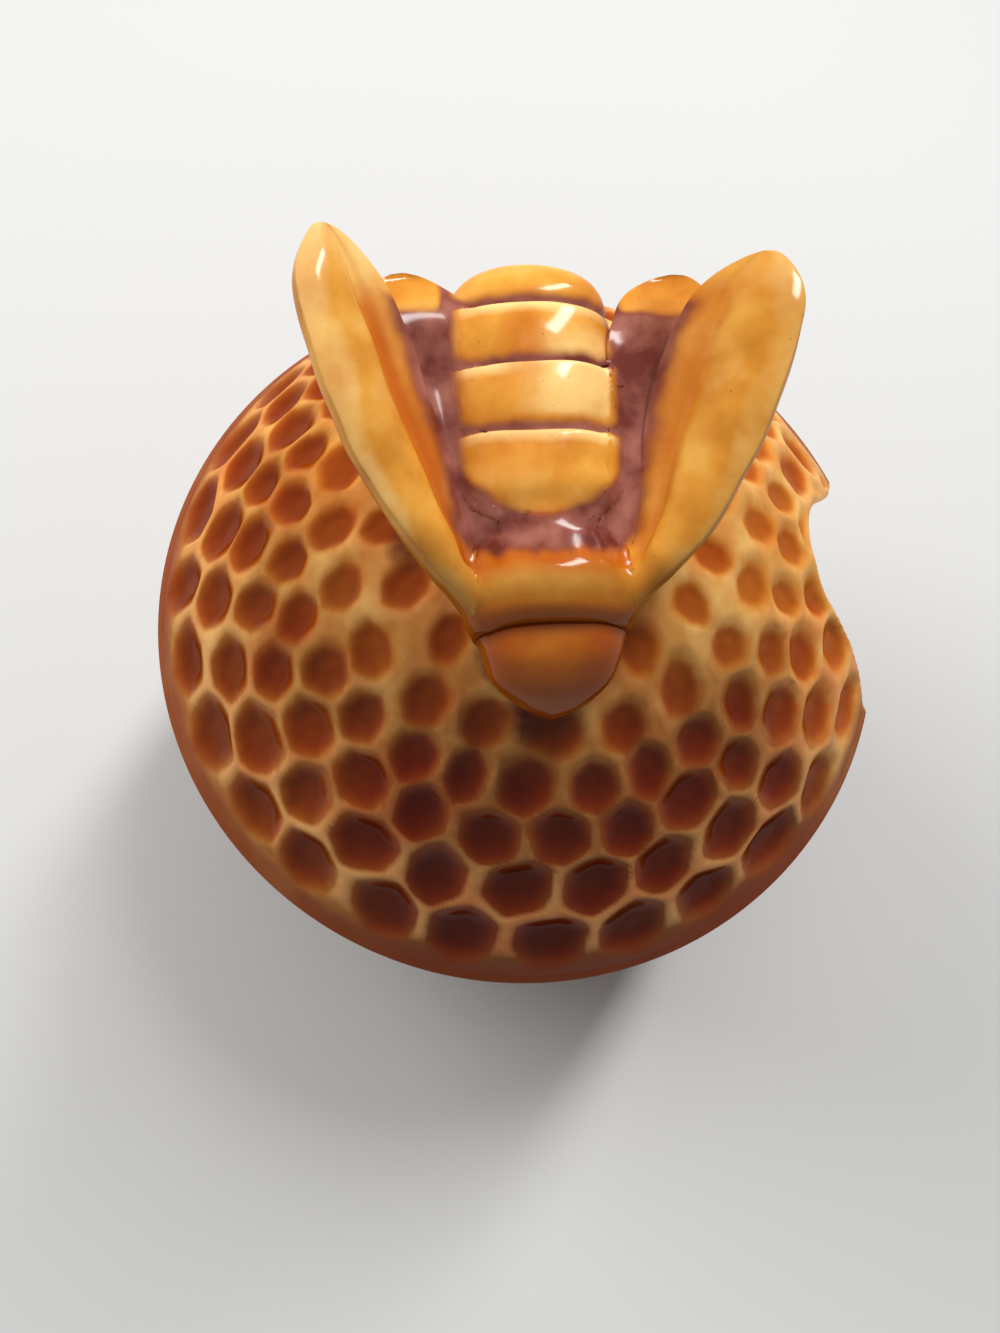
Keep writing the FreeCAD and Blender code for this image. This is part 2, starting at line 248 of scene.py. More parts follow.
def fillet(things, reach, overlap=FILLET_OVERLAP):
    """Rounds off the inner corners between pieces that were pressed together: each point that lies
    near another piece moves out onto the surface that blends the two over this reach. What lies
    deeper in the other piece than the overlap stays."""
    trees = [tree_of(thing) for thing in things]
    for thing, own in zip(things, trees):
        points = points_of(thing)
        for index, start in enumerate(points):
            place = Vector(start)
            for step in range(FILLET_STEPS):
                gaps = [outside(tree, place, reach) for tree in trees if tree is not own]
                gap, way = min(gaps, key=lambda found: found[0])
                if way is None or (step == 0 and gap < -overlap):
                    break
                here, out = outside(own, place, 2 * reach)
                blend = max(reach - abs(here - gap), 0) / reach
                share = blend / 2 if here < gap else 1 - blend / 2
                over = min(here, gap) - blend * blend * reach / 4
                slope = out * (1 - share) + way * share
                place = place - slope * (over / max(slope.length_squared, FILLET_STEEPEST))
            points[index] = place
        set_points(thing, points)


def nearness(points, trees, reach):
    """From 0 at this reach or further from the other pieces to 1 where a point touches one."""
    close = np.zeros(len(points))
    for index, point in enumerate(points):
        place = Vector(point)
        for tree in trees:
            gap, way = outside(tree, place, reach)
            if way is not None:
                close[index] = max(close[index], 1 - gap / reach)
    return np.clip(close, 0, 1)


# The honeycomb

Row = namedtuple("Row", "slope count first deep ridge")
# Rows of cells from the rim up: the lid's slope at the middle of the row, how many cells go round, the
# turn of the first one, how deep they are and how wide the ridges between them. Angles are in degrees.
ROWS = (
    Row(57.0, 27, 5.3, 1.3, 1.0),
    Row(51.5, 27, 12.0, 1.3, 1.0),
    Row(46.8, 27, 5.3, 1.15, 0.9),
    Row(42.7, 27, 12.0, 1.0, 0.9),
    Row(38.8, 20, 0.7, 0.85, 1.2),
    Row(28.8, 16, 7.0, 0.65, 1.6),
)
# Cells are pressed by hand: how far each is shifted, how much it grows or shrinks, how far it leans, and
# how far and over what length their outlines wander
CELL_SHIFT, CELL_GROW_SHARE, CELL_LEAN = 0.3, 0.06, 0.16
CELL_WANDER, CELL_WANDER_LENGTH = 0.35, 9
CELL_SEED = 7
# A cell's outline lies between an ellipse and a hexagon, whose upper and lower sides slope
HEXAGON_SHARE, HEXAGON_SLOPE_SHARE = 0.45, 0.5
# Places in a cell, in its own radii: its wall from the floor up to the ridge, the shore of the glaze in
# it, and where the ridge stops that glaze
CELL_WALL, POOL_SHORE, POOL_STOP = (0.25, 1.18), (0.5, 1.18), (0.95, 1.25)
NO_CELL = 9.0
# The glaze ran down in the cells. On the right and high up the pools are painted smaller and paler, as
# painted light
RUN_DOWN = 0.4
RIGHT_SIDE, UPPER_ROWS = (4, 26), (24, 38)
LESS_WIDE_RIGHT_SHARE, LESS_WIDE_UP_SHARE, LESS_DEEP_SHARE = 0.16, 0.04, 0.15


def section(slope):
    """Distance from the axis and height of the lid's outside, where it has this slope."""
    side = slope > CROWN_SLOPE
    out = np.where(side, SIDE_OUT + SIDE_ARC * np.sin(slope), CROWN_ARC * np.sin(slope))
    up = np.where(side, SIDE_ARC * np.cos(slope) - SIDE_DOWN, CROWN_ARC * np.cos(slope) - CROWN_DOWN)
    return out, up


def along(slope):
    """How far up the section a slope is, from the rim."""
    side = SIDE_ARC * (RIM_SLOPE - np.maximum(slope, CROWN_SLOPE))
    return side + CROWN_ARC * (CROWN_SLOPE - np.minimum(slope, CROWN_SLOPE))


def unrolled(points):
    """For points near the outside: the turn about the axis, the slope there, and the depth under it."""
    out = np.hypot(points[:, 0], points[:, 1])
    turn = np.arctan2(points[:, 1], points[:, 0])
    from_side = out - SIDE_OUT, points[:, 2] + SIDE_DOWN
    from_crown = out, points[:, 2] + CROWN_DOWN
    side, crown = np.arctan2(*from_side), np.arctan2(*from_crown)
    low = side > CROWN_SLOPE
    deep = np.where(low, SIDE_ARC - np.hypot(*from_side), CROWN_ARC - np.hypot(*from_crown))
    return turn, np.where(low, side, crown), deep


def cell_reach(across, up):
    """How far out of a cell's middle a place is, in the cell's own radii."""
    hexagon = np.maximum(across, up + HEXAGON_SLOPE_SHARE * across)
    return HEXAGON_SHARE * hexagon + (1 - HEXAGON_SHARE) * np.hypot(across, up)


def cells(points):
    """For points on the dome: how deep they are sunk in a cell, how thick the glaze is, from 0 to 1, and
    how far from the nearest cell's middle they are, in its own radii."""
    rng = np.random.default_rng(CELL_SEED)
    turn, slope, _ = unrolled(points)
    out, _ = section(slope)
    height = along(slope)
    wander_across = CELL_WANDER * waves(points, CELL_WANDER_LENGTH, seed=1)
    wander_up = CELL_WANDER * waves(points, CELL_WANDER_LENGTH, seed=2)
    to_right = smooth(*RIGHT_SIDE, points[:, 0])
    high_up = smooth(*UPPER_ROWS, height)
    middles = [along(math.radians(row.slope)) for row in ROWS]
    levels = [2 * middles[0] - middles[1], *middles, 2 * middles[-1] - middles[-2]]
    sunk, pool = np.zeros((2, len(points)))
    nearest = np.full(len(points), NO_CELL)
    for row, below, middle, above in zip(ROWS, levels, levels[1:], levels[2:]):
        row_out = section(math.radians(row.slope))[0]
        first = math.radians(row.first)
        pitch = FULL_TURN / row.count
        number = np.round((turn - first) / pitch)
        place = number.astype(int) % row.count
        shift = rng.uniform(-CELL_SHIFT, CELL_SHIFT, (row.count, 2))[place]
        grow = rng.uniform(1 - CELL_GROW_SHARE, 1 + CELL_GROW_SHARE, (row.count, 2))[place]
        lean = rng.uniform(-CELL_LEAN, CELL_LEAN, row.count)[place]
        across = (turn - first - number * pitch) * out + shift[:, 0] + wander_across
        up = height - middle + shift[:, 1] + wander_up
        across, up = across * np.cos(lean) + up * np.sin(lean), up * np.cos(lean) - across * np.sin(lean)
        half_wide = (pitch * row_out - row.ridge) / 2 * grow[:, 0]
        half_tall = ((above - below) / 3 - row.ridge / math.sqrt(3)) * grow[:, 1]
        across = np.abs(across) / half_wide
        reach = cell_reach(across, np.abs(up) / half_tall)
        spread = cell_reach(across, np.abs(up + RUN_DOWN) / half_tall)
        # Painted light: smaller, paler pools on the lit right and high up
        spread = spread * (1 + LESS_WIDE_RIGHT_SHARE * to_right + LESS_WIDE_UP_SHARE * high_up)
        filled = fade(*POOL_SHORE, spread) * fade(*POOL_STOP, reach)
        filled = filled * (1 - LESS_DEEP_SHARE * to_right) * (1 - LESS_DEEP_SHARE * high_up)
        sunk = np.maximum(sunk, row.deep * fade(*CELL_WALL, reach))
        pool = np.maximum(pool, filled)
        nearest = np.minimum(nearest, reach)
    return sunk, pool, nearest


# The notch

NOTCH_TURN = math.radians(3)
NOTCH_HIGH, NOTCH_TOP_R, NOTCH_FLANK = 21.0, 6.8, math.radians(62)
NOTCH_MIDDLE = NOTCH_HIGH - NOTCH_TOP_R
NOTCH_FOOT = -12.0
NOTCH_ARCH_STEPS = 12
NOTCH_FROM, NOTCH_OVERRUN = 8.0, 8.0
NO_NOTCH = 99.0


def notch_outline():
    """The arch through the rim, as pairs of side and height."""
    turns = np.linspace(NOTCH_FLANK, -NOTCH_FLANK, NOTCH_ARCH_STEPS)
    top = np.stack([NOTCH_TOP_R * np.sin(turns), NOTCH_MIDDLE + NOTCH_TOP_R * np.cos(turns)], 1)
    side, high = top[0]
    foot = side + (high - NOTCH_FOOT) / math.tan(NOTCH_FLANK)
    return np.vstack([[foot, NOTCH_FOOT], top, [-foot, NOTCH_FOOT]])


def notch_tool():
    """The solid that cuts the notch, from inside the lid to beyond its rim."""
    arch = notch_outline()
    count = len(arch)
    ends = [np.column_stack([np.full(count, ahead), arch]) for ahead in (NOTCH_FROM, LID_R + NOTCH_OVERRUN)]
    spin = np.array(Matrix.Rotation(NOTCH_TURN, 3, "Z"))
    walls = [(i, (i + 1) % count, count + (i + 1) % count, count + i) for i in range(count)]
    caps = [tuple(reversed(range(count))), tuple(range(count, 2 * count))]
    return outward(new_mesh("notch_tool", np.vstack(ends) @ spin.T, walls + caps))


def to_notch(points):
    """How far each point is from the notch's outline, sideways on and outside it positive."""
    x, y = points[:, 0], points[:, 1]
    side = np.abs(y * math.cos(NOTCH_TURN) - x * math.sin(NOTCH_TURN))
    ahead = x * math.cos(NOTCH_TURN) + y * math.sin(NOTCH_TURN)
    up = points[:, 2] - NOTCH_MIDDLE
    flank = side * math.sin(NOTCH_FLANK) + up * math.cos(NOTCH_FLANK) - NOTCH_TOP_R
    arch = np.hypot(side, up) - NOTCH_TOP_R
    over = side * math.cos(NOTCH_FLANK) < up * math.sin(NOTCH_FLANK)
    return np.where(ahead > 0, np.where(over, arch, flank), NO_NOTCH)


def cut(thing, tool):
    """Cuts the tool out of the thing and takes the tool away."""
    step = thing.modifiers.new("cut", "BOOLEAN")
    step.operation = "DIFFERENCE"
    step.solver = "EXACT"
    step.object = tool
    graph = bpy.context.evaluated_depsgraph_get()
    result = bpy.data.meshes.new_from_object(thing.evaluated_get(graph))
    thing.modifiers.clear()
    thing.data = result
    bpy.data.objects.remove(tool)


# The dome

DOME_COLUMNS = 540
# How finely the section is divided, and the slopes where its runs of points start and end
CROWN_STEPS, SIDE_STEPS, INSIDE_SIDE_STEPS, INSIDE_CROWN_STEPS = 48, 92, 12, 10
TOP_SLOPE, INSIDE_TOP_SLOPE, INSIDE_FOOT_SLOPE = 0.004, 0.01, math.radians(55)
LIP_SLOPE = RIM_SLOPE - 0.02
# The rim's rounded lip: how far in from the rim and how high each of its points lies
LIP = ((0.14, 1.0), (0.05, 0.62), (0.1, 0.3), (0.3, 0.08), (0.7, 0.0), (1.6, 0.0), (2.9, 0.0))
LIP_ROUND, COLLAR_ROUND, WEB_ROUND, INSIDE_ROUND = 0.4, 0.6, 0.5, 1.2
WEB_EDGE_OUT, WEB_EDGE_DOWN = 0.1, 0.3


def inner_out(height):
    """How far the inner wall is from the axis at a height above the rim."""
    return SIDE_OUT + math.sqrt((SIDE_ARC - WALL) ** 2 - (height + SIDE_DOWN) ** 2)


def lid_profile():
    """The lid's section from the crown's top outside, round the rim, to the crown's top inside."""
    slopes = np.concatenate([
        np.linspace(TOP_SLOPE, CROWN_SLOPE, CROWN_STEPS, endpoint=False),
        np.linspace(CROWN_SLOPE, LIP_SLOPE, SIDE_STEPS),
    ])
    outer = np.stack(section(slopes), 1)
    lip = [(LID_R - inset, high) for inset, high in LIP]
    lip += [(inner_out(0.0) + LIP_ROUND, 0.0), (inner_out(0.0), LIP_ROUND)]
    seat = [
        (inner_out(INSIDE_ROUND), INSIDE_ROUND),
        (inner_out(WEB_LOW) + WEB_EDGE_OUT, WEB_LOW - WEB_EDGE_DOWN),
        (inner_out(WEB_LOW) - WEB_ROUND, WEB_LOW),
        (COLLAR_OUT + WEB_ROUND, WEB_LOW),
        (COLLAR_OUT, WEB_LOW - WEB_ROUND),
        (COLLAR_OUT, COLLAR_LOW + COLLAR_ROUND),
        (COLLAR_OUT - COLLAR_ROUND, COLLAR_LOW),
        (COLLAR_IN + COLLAR_ROUND, COLLAR_LOW),
        (COLLAR_IN, COLLAR_LOW + COLLAR_ROUND),
        (COLLAR_IN, WEB_HIGH - COLLAR_ROUND),
        (COLLAR_IN + COLLAR_ROUND, WEB_HIGH),
        (inner_out(WEB_HIGH) - INSIDE_ROUND, WEB_HIGH),
        (inner_out(WEB_HIGH + INSIDE_ROUND), WEB_HIGH + INSIDE_ROUND),
    ]
    inside_slopes = np.concatenate([
        np.linspace(INSIDE_FOOT_SLOPE, CROWN_SLOPE, INSIDE_SIDE_STEPS, endpoint=False),
        np.linspace(CROWN_SLOPE, INSIDE_TOP_SLOPE, INSIDE_CROWN_STEPS),
    ])
    out, up = section(inside_slopes)
    inner = np.stack([out - WALL * np.sin(inside_slopes), up - WALL * np.cos(inside_slopes)], 1)
    return np.vstack([outer, lip, seat, inner])


OUTER_SKIN = 0.25
# The bare strips along the rim and the notch, and the notch's rounded edge
RIM_PLAIN, NOTCH_PLAIN, NOTCH_EDGE = (0.3, 2.2), (0.2, 1.6), (0.0, 0.9)
NOTCH_ROUNDING = 0.5
# The dome's slow unevenness, which fades out towards the rim
ROLL_DEEP, ROLL_LENGTH, ROLL_FADE = 0.10, 16, (1.0, 6.0)
# Glaze on the dome, by the distance up from the rim, and the painted light over the crown, which takes the
# lit colours
PALE_RIM, RIM_BAND, CROWN_LIT = (0.1, 0.8), (3.2, 7.0), (28, 46)
LOW_CREST, HIGH_CREST = (5.0, 9.0), (14, 28)
NOTCH_PALE_SHARE, HIGH_CREST_SHARE, CROWN_LIT_SHARE = 0.8, 0.65, 0.6
# The crest of a ridge, by the distance from the nearest cell in its own radii
CREST_NEAR, CREST_FAR = (0.86, 1.1), (1.25, 1.7)
# Painted light: the side of the dome that takes the lit colours, behind and right, less of them on the left
LIT_BEHIND, LIT_FROM_LEFT, LIT_LEFT = (-6, 20), (-20, 0), (8, 28)
LIT_TO_RIGHT_SHARE, LIT_LEAST_SHARE, LIT_LEFT_SHARE = 0.85, 0.45, 0.4
# Painted shade with pooled glaze under the bee's chin, beside its left wing and close round it
CHIN_PLACE, CHIN_SPOT_SHARES, CHIN_FADE, CHIN_BACK = (-1.4, -19.0), (1.15, 1), (1.5, 4.6), -17.5
WING_PLACE, WING_SPOT, WING_FADE = (-13.5, -3.5), (3.6, 5.5), (0.2, 1.0)
CHIN_SHARE, WING_SHARE, BEE_SHARE = 0.9, 0.8, 0.8
BEE_SHADE_REACH = 2.6
# A paler ring in front of the bee, and the redder glaze behind on the left
RING_MIDDLE, RING_R, RING_WIDE, RING_FRONT = (-1.9, -9.0), 15.5, 5.0, (0, -14)
RED_TURN, RED_BEHIND = (math.radians(95), math.radians(150)), (-12, 12)
# The inside takes half of the painted light and a share of the pale edge
INSIDE_LIT_SHARE, INSIDE_EDGE_SHARE = 0.5, 0.35


def shade_and_pool_round_bee(flat):
    """How dark the dome is painted in front of the bee and beside it: painted shade with pooled glaze."""
    from_chin = np.hypot(*((flat - CHIN_PLACE) / CHIN_SPOT_SHARES).T)
    beside = np.hypot(*((flat - WING_PLACE) / WING_SPOT).T)
    chin = CHIN_SHARE * fade(*CHIN_FADE, from_chin) * (flat[:, 1] < CHIN_BACK)
    return np.maximum(chin, WING_SHARE * fade(*WING_FADE, beside))


def painted_light_by_side(x, y):
    """How much painted light each side of the dome gets, as the share of the lit colours."""
    lit = smooth(*LIT_BEHIND, y + LIT_TO_RIGHT_SHARE * np.maximum(x, 0))
    lit *= LIT_LEAST_SHARE + (1 - LIT_LEAST_SHARE) * smooth(*LIT_FROM_LEFT, x)
    return np.maximum(lit, LIT_LEFT_SHARE * smooth(*LIT_LEFT, -x))


def make_dome(material, bee_pieces):
    """The lid's shell, with its cells sunk as a fine displaced surface and its glaze, painted light and
    painted shade worked out.
    """
    thing = turned("lid_dome_glazed", lid_profile(), DOME_COLUMNS)
    cut(thing, notch_tool())
    points = points_of(thing)
    x, y = points[:, 0], points[:, 1]
    turn, slope, deep = unrolled(points)
    outer = deep < OUTER_SKIN
    on_rim = along(slope)
    notch = to_notch(points)
    sunk, pool, nearest = cells(points)
    plain = smooth(*RIM_PLAIN, on_rim) * smooth(*NOTCH_PLAIN, notch)
    near_notch = fade(*NOTCH_EDGE, notch)
    rolls = ROLL_DEEP * waves(points, ROLL_LENGTH, seed=3) * smooth(*ROLL_FADE, on_rim)
    way = np.stack([np.sin(slope) * np.cos(turn), np.sin(slope) * np.sin(turn), np.cos(slope)], 1)
    inward = np.where(outer, sunk * plain + NOTCH_ROUNDING * near_notch**2 + rolls, 0.0)
    set_points(thing, points - way * inward[:, None] + np.array([0, 0, RIM_Z]))

    crest = smooth(*CREST_NEAR, nearest) * fade(*CREST_FAR, nearest) * (1 - near_notch)
    crest *= smooth(*LOW_CREST, on_rim) * (1 - HIGH_CREST_SHARE * smooth(*HIGH_CREST, on_rim))
    flat = points[:, :2]
    # Painted shade with pooled glaze close round the bee
    by_bee = nearness(points_of(thing), [tree_of(piece) for piece in bee_pieces], BEE_SHADE_REACH)
    ring = np.hypot(*(flat - RING_MIDDLE).T) - RING_R
    outside_only = {
        "pool": pool * plain,
        "shade_and_pool": np.maximum(shade_and_pool_round_bee(flat), BEE_SHARE * by_bee),
        "crest": crest,
        "pale": bell(ring, RING_WIDE) * smooth(*RING_FRONT, y),
        "red": smooth(*RED_TURN, np.abs(turn)) * smooth(*RED_BEHIND, y),
        "band": fade(*RIM_BAND, on_rim),
    }
    give(thing, **{name: np.where(outer, value, 0.0) for name, value in outside_only.items()})
    # Painted light: the share of the lit colours, on the lit side and over the crown
    amber = np.clip(painted_light_by_side(x, y) + CROWN_LIT_SHARE * smooth(*CROWN_LIT, on_rim), 0, 1)
    edge = np.maximum(fade(*PALE_RIM, on_rim), NOTCH_PALE_SHARE * near_notch)
    give(
        thing,
        amber=np.where(outer, amber, INSIDE_LIT_SHARE),
        edge=np.where(outer, edge, INSIDE_EDGE_SHARE),
        inside=np.where(outer, 0.0, 1.0),
    )
    return dress(thing, ["lid_dome"], BODY_LID, material)


# The bee. Its frame sits on the crown, a little to the side and turned. Sizes of the bee's pieces are
# places in this frame, and shares are along, across or through a piece.
BEE_SIDE, BEE_UP, BEE_TURN = -1.9, 36.27, math.radians(1.5)
BEE_PLACE = Matrix.Translation((BEE_SIDE, 0, RIM_Z + BEE_UP)) @ Matrix.Rotation(BEE_TURN, 4, "Z")


def on_bee(points):
    """Points from the bee's frame into the loaded frame, in millimetres."""
    place = np.array(BEE_PLACE)
    return points @ place[:3, :3].T + place[:3, 3]


def ring_of(count, power):
    """A rounded outline of half width 1: a circle for a power of 2, squarer above."""
    angle = np.linspace(0, FULL_TURN, count, endpoint=False)
    return np.stack([np.sign(way) * np.abs(way) ** (2 / power) for way in (np.cos(angle), np.sin(angle))], 1)


def blended(table, at):
    """Values from a short table of (place, values...), smoothly joined, at each place."""
    table = np.array(table, float)
    places, values = table[:, 0], table[:, 1:]
    slopes = np.gradient(values, places, axis=0)
    index = np.clip(np.searchsorted(places, at) - 1, 0, len(places) - 2)
    width = (places[index + 1] - places[index])[:, None]
    t = ((at - places[index])[:, None]) / width
    start, end = values[index], values[index + 1]
    return (
        (2 * t**3 - 3 * t**2 + 1) * start + (t**3 - 2 * t**2 + t) * width * slopes[index]
        + (3 * t**2 - 2 * t**3) * end + (t**3 - t**2) * width * slopes[index + 1]
    )


def loft(name, rings):
    """A closed form through rings of points, with a point at each end."""
    rows, columns = rings.shape[:2]
    points = np.vstack([rings.reshape(-1, 3), rings[0].mean(0), rings[-1].mean(0)])
    faces = grid_faces(rows, columns)
    first, last = rows * columns, rows * columns + 1
    end = (rows - 1) * columns
    faces += [[(i + 1) % columns, i, first] for i in range(columns)]
    faces += [[end + i, end + (i + 1) % columns, last] for i in range(columns)]
    return outward(new_mesh(name, points, faces))


def rings_across(across, y, up):
    """Rings that stand upright across the bee at places along it."""
    return np.stack([across, np.repeat(y[:, None], up.shape[1], 1), up], -1)


# The abdomen: its line rises from the waist and arches towards the tail
ABDOMEN_UP, ABDOMEN_RISE = 5.65, math.tan(math.radians(9))
ABDOMEN_ARCH, ABDOMEN_ARCH_Y = 0.006, 3.0
ABDOMEN_LEAN, ABDOMEN_SIDE = -0.03, -0.5
ABDOMEN_WIDE, ABDOMEN_TALL = 7.4, 5.0
ABDOMEN_POINTS, ABDOMEN_SQUARE = 120, 2.45
# Ends of its plates along the bee, from the waist to the tail, and places along one plate
PLATES = (-6.6, 1.1, 6.8, 12.0, 17.4)
PLATE_SHARES = np.concatenate([np.linspace(0, 0.9, 24), np.linspace(0.92, 1.0, 7)])
PLATE_TAPER = 0.08
TUCK, TUCK_POWER = 0.5, 2.6
PILLOW, PLATE_STEP, PLATE_STEP_SHARES = 0.22, 0.14, (0.95, 1.0)
WAIST_SHARE, WAIST_ROUND_SHARE, WAIST_LEAST_SHARE = 0.5, 0.54, 0.02
TAIL_SHARE, TAIL_ROUND_SHARE, TAIL_POWER, TAIL_LEAST_SHARE = 0.1, 0.91, 2.2, 0.0004


def abdomen_middle(y):
    """The height of the abdomen's line over the crown."""
    return ABDOMEN_UP + y * ABDOMEN_RISE - ABDOMEN_ARCH * (y - ABDOMEN_ARCH_Y) ** 2


def make_abdomen():
    """Overlapping plates: each swells like a pillow and ends in a crisp step down to the next."""
    share = PLATE_SHARES
    places, bodies, dips = [], [], []
    for index, (start, end) in enumerate(zip(PLATES, PLATES[1:])):
        body = np.full(len(share), ABDOMEN_WIDE - PLATE_TAPER * index)
        dip = TUCK * (1 - share) ** TUCK_POWER
        if index == 0:
            waist = (WAIST_SHARE - np.minimum(share, WAIST_SHARE)) / WAIST_ROUND_SHARE
            body = body * np.sqrt(np.clip(1 - waist**2, WAIST_LEAST_SHARE, 1))
            dip = 0 * share
        if end == PLATES[-1]:
            tail = np.maximum(share - TAIL_SHARE, 0) / TAIL_ROUND_SHARE
            body = body * np.sqrt(np.clip(1 - tail**TAIL_POWER, TAIL_LEAST_SHARE, 1))
            dip = dip * (1 - share)
        else:
            dip = dip + PILLOW * share**3 + PLATE_STEP * smooth(*PLATE_STEP_SHARES, share)
        places.append(start + (end - start) * share)
        bodies.append(body)
        dips.append(dip)
    y, body, dip = (np.concatenate(part) for part in (places, bodies, dips))
    across, up = ring_of(ABDOMEN_POINTS, ABDOMEN_SQUARE).T
    tall = body * ABDOMEN_TALL / ABDOMEN_WIDE - dip
    side = ABDOMEN_SIDE + ABDOMEN_LEAN * y
    rings = rings_across(
        (body - dip)[:, None] * across + side[:, None], y, abdomen_middle(y)[:, None] + tall[:, None] * up
    )
    return loft("bee_abdomen_glazed", rings)


# The thorax along the bee: place, half width, half height, and height of its middle over the crown
THORAX = (
    (-14.2, 6.6, 5.0, 2.2), (-13.8, 6.9, 5.5, 2.4), (-12.6, 7.3, 6.1, 2.7), (-10.6, 7.5, 6.5, 2.9),
    (-8.8, 7.2, 6.1, 3.0), (-7.2, 6.9, 5.7, 3.1), (-5.6, 6.2, 5.1, 3.2), (-4.2, 5.0, 3.8, 3.2),
)
THORAX_SIDE = 0.3
THORAX_STEPS, THORAX_POINTS, THORAX_SQUARE = 72, 104, 2.25


def make_thorax():
    """A broad yoke that the wings grow out of."""
    y = np.linspace(THORAX[0][0], THORAX[-1][0], THORAX_STEPS)
    wide, tall, middle = blended(THORAX, y).T
    across, up = ring_of(THORAX_POINTS, THORAX_SQUARE).T
    rings = rings_across(wide[:, None] * across + THORAX_SIDE, y, middle[:, None] + tall[:, None] * up)
    return loft("bee_thorax_glazed", rings)


# The head from the neck to its point: place along its own drooping line, half width and half height
HEAD = (
    (-1.6, 4.9, 4.1), (0.0, 5.9, 5.35), (1.2, 6.2, 5.75), (3.4, 5.95, 5.5), (5.4, 5.3, 4.7),
    (6.8, 4.2, 3.7), (8.0, 2.8, 2.6), (8.9, 1.4, 1.5), (9.4, 0.4, 0.5),
)
HEAD_PLACES = np.concatenate([np.linspace(-1.6, 8, 52), np.linspace(8.06, 9.4, 16)])
HEAD_DROOP = math.radians(34)
HEAD_SIDE, HEAD_Y, HEAD_Z = 0.5, -12.4, 1.75
HEAD_POINTS, HEAD_SQUARE = 104, 2.5
HEAD_RIDGE, HEAD_RIDGE_WIDE_SHARE, HEAD_RIDGE_FROM = 0.25, 0.28, (1, 4)


def make_head():
    """A drooping head with a blunt point, seen from above as a shield."""
    s = HEAD_PLACES
    wide, tall = blended(HEAD, s).T
    across, high = ring_of(HEAD_POINTS, HEAD_SQUARE).T
    ridge = HEAD_RIDGE * bell(across, HEAD_RIDGE_WIDE_SHARE) * (high > 0)
    up = tall[:, None] * high + ridge * smooth(*HEAD_RIDGE_FROM, s)[:, None]
    rings = np.stack([
        wide[:, None] * across + HEAD_SIDE,
        HEAD_Y - s[:, None] * math.cos(HEAD_DROOP) - up * math.sin(HEAD_DROOP),
        HEAD_Z - s[:, None] * math.sin(HEAD_DROOP) + up * math.cos(HEAD_DROOP),
    ], -1)
    return loft("bee_head_glazed", rings)


# The wings' two edges, from root to tip, as places on their upper faces in the bee's frame. The
# hindwings are alike, and the right one mirrors these places.
FOREWINGS = {
    "left": (
        ((-3.8, -13.2, 3.0), (-6.8, -12.4, 6.2), (-10.1, -9.4, 8.9), (-14.3, -4.3, 12.3), (-17.7, 3.0, 15.9),
         (-19.4, 9.6, 17.7), (-19.6, 15.0, 18.0)),
        ((-3.0, -11.4, 4.2), (-6.0, -9.6, 6.4), (-6.9, -5.2, 7.5), (-7.8, -1.0, 8.4), (-9.4, 3.6, 10.1),
         (-10.9, 8.1, 11.9), (-12.9, 12.2, 13.9), (-15.2, 15.6, 15.9)),
    ),
    "right": (
        ((4.0, -13.0, 3.2), (7.4, -12.2, 6.6), (11.8, -8.9, 10.1), (15.6, -3.4, 13.3), (18.3, 2.6, 15.9),
         (19.8, 8.2, 17.5), (20.2, 12.8, 18.0)),
        ((3.2, -11.4, 4.4), (6.5, -9.4, 6.6), (7.7, -4.6, 7.8), (8.3, 1.5, 9.0), (9.7, 6.8, 10.8),
         (12.0, 11.2, 13.0), (14.6, 14.0, 15.0)),
    ),
}
HINDWING = (
    ((-7.0, -11.0, 6.2), (-9.4, -2.6, 8.9), (-11.2, 3.4, 10.0), (-13.0, 8.4, 11.0), (-14.4, 12.4, 11.4),
     (-14.2, 15.4, 11.0)),
    ((-3.4, -11.0, 6.6), (-4.8, -2.0, 8.7), (-5.4, 3.6, 9.4), (-5.8, 9.0, 10.1), (-6.8, 13.0, 10.3),
     (-8.6, 15.6, 9.8)),
)
MIRRORED = {"left": np.array([1, 1, 1]), "right": np.array([-1, 1, 1])}
LEAF_POINTS, LEAF_SQUARE = 92, 2.15
# How much denser a leaf's rings are near its tip, how its tip closes, and how its face rises at the root
TIP_DENSE_SHARE, TIP_POWER, TIP_ROUND, TIP_LEAST_SHARE, TIP_THICK_SHARE = 0.35, 2.4, 0.45, 0.0005, 0.35
ROOT_SHARES, FACE_ROUND = (0.0, 0.25), 0.35


def curve_through(corners, at):
    """A smooth curve through points, at shares from 0 to 1 of its length."""
    corners = np.array(corners, float)
    steps = np.linalg.norm(np.diff(corners, axis=0), axis=1)
    places = np.concatenate([[0], np.cumsum(steps)])
    return blended(np.column_stack([places / places[-1], corners]), at)


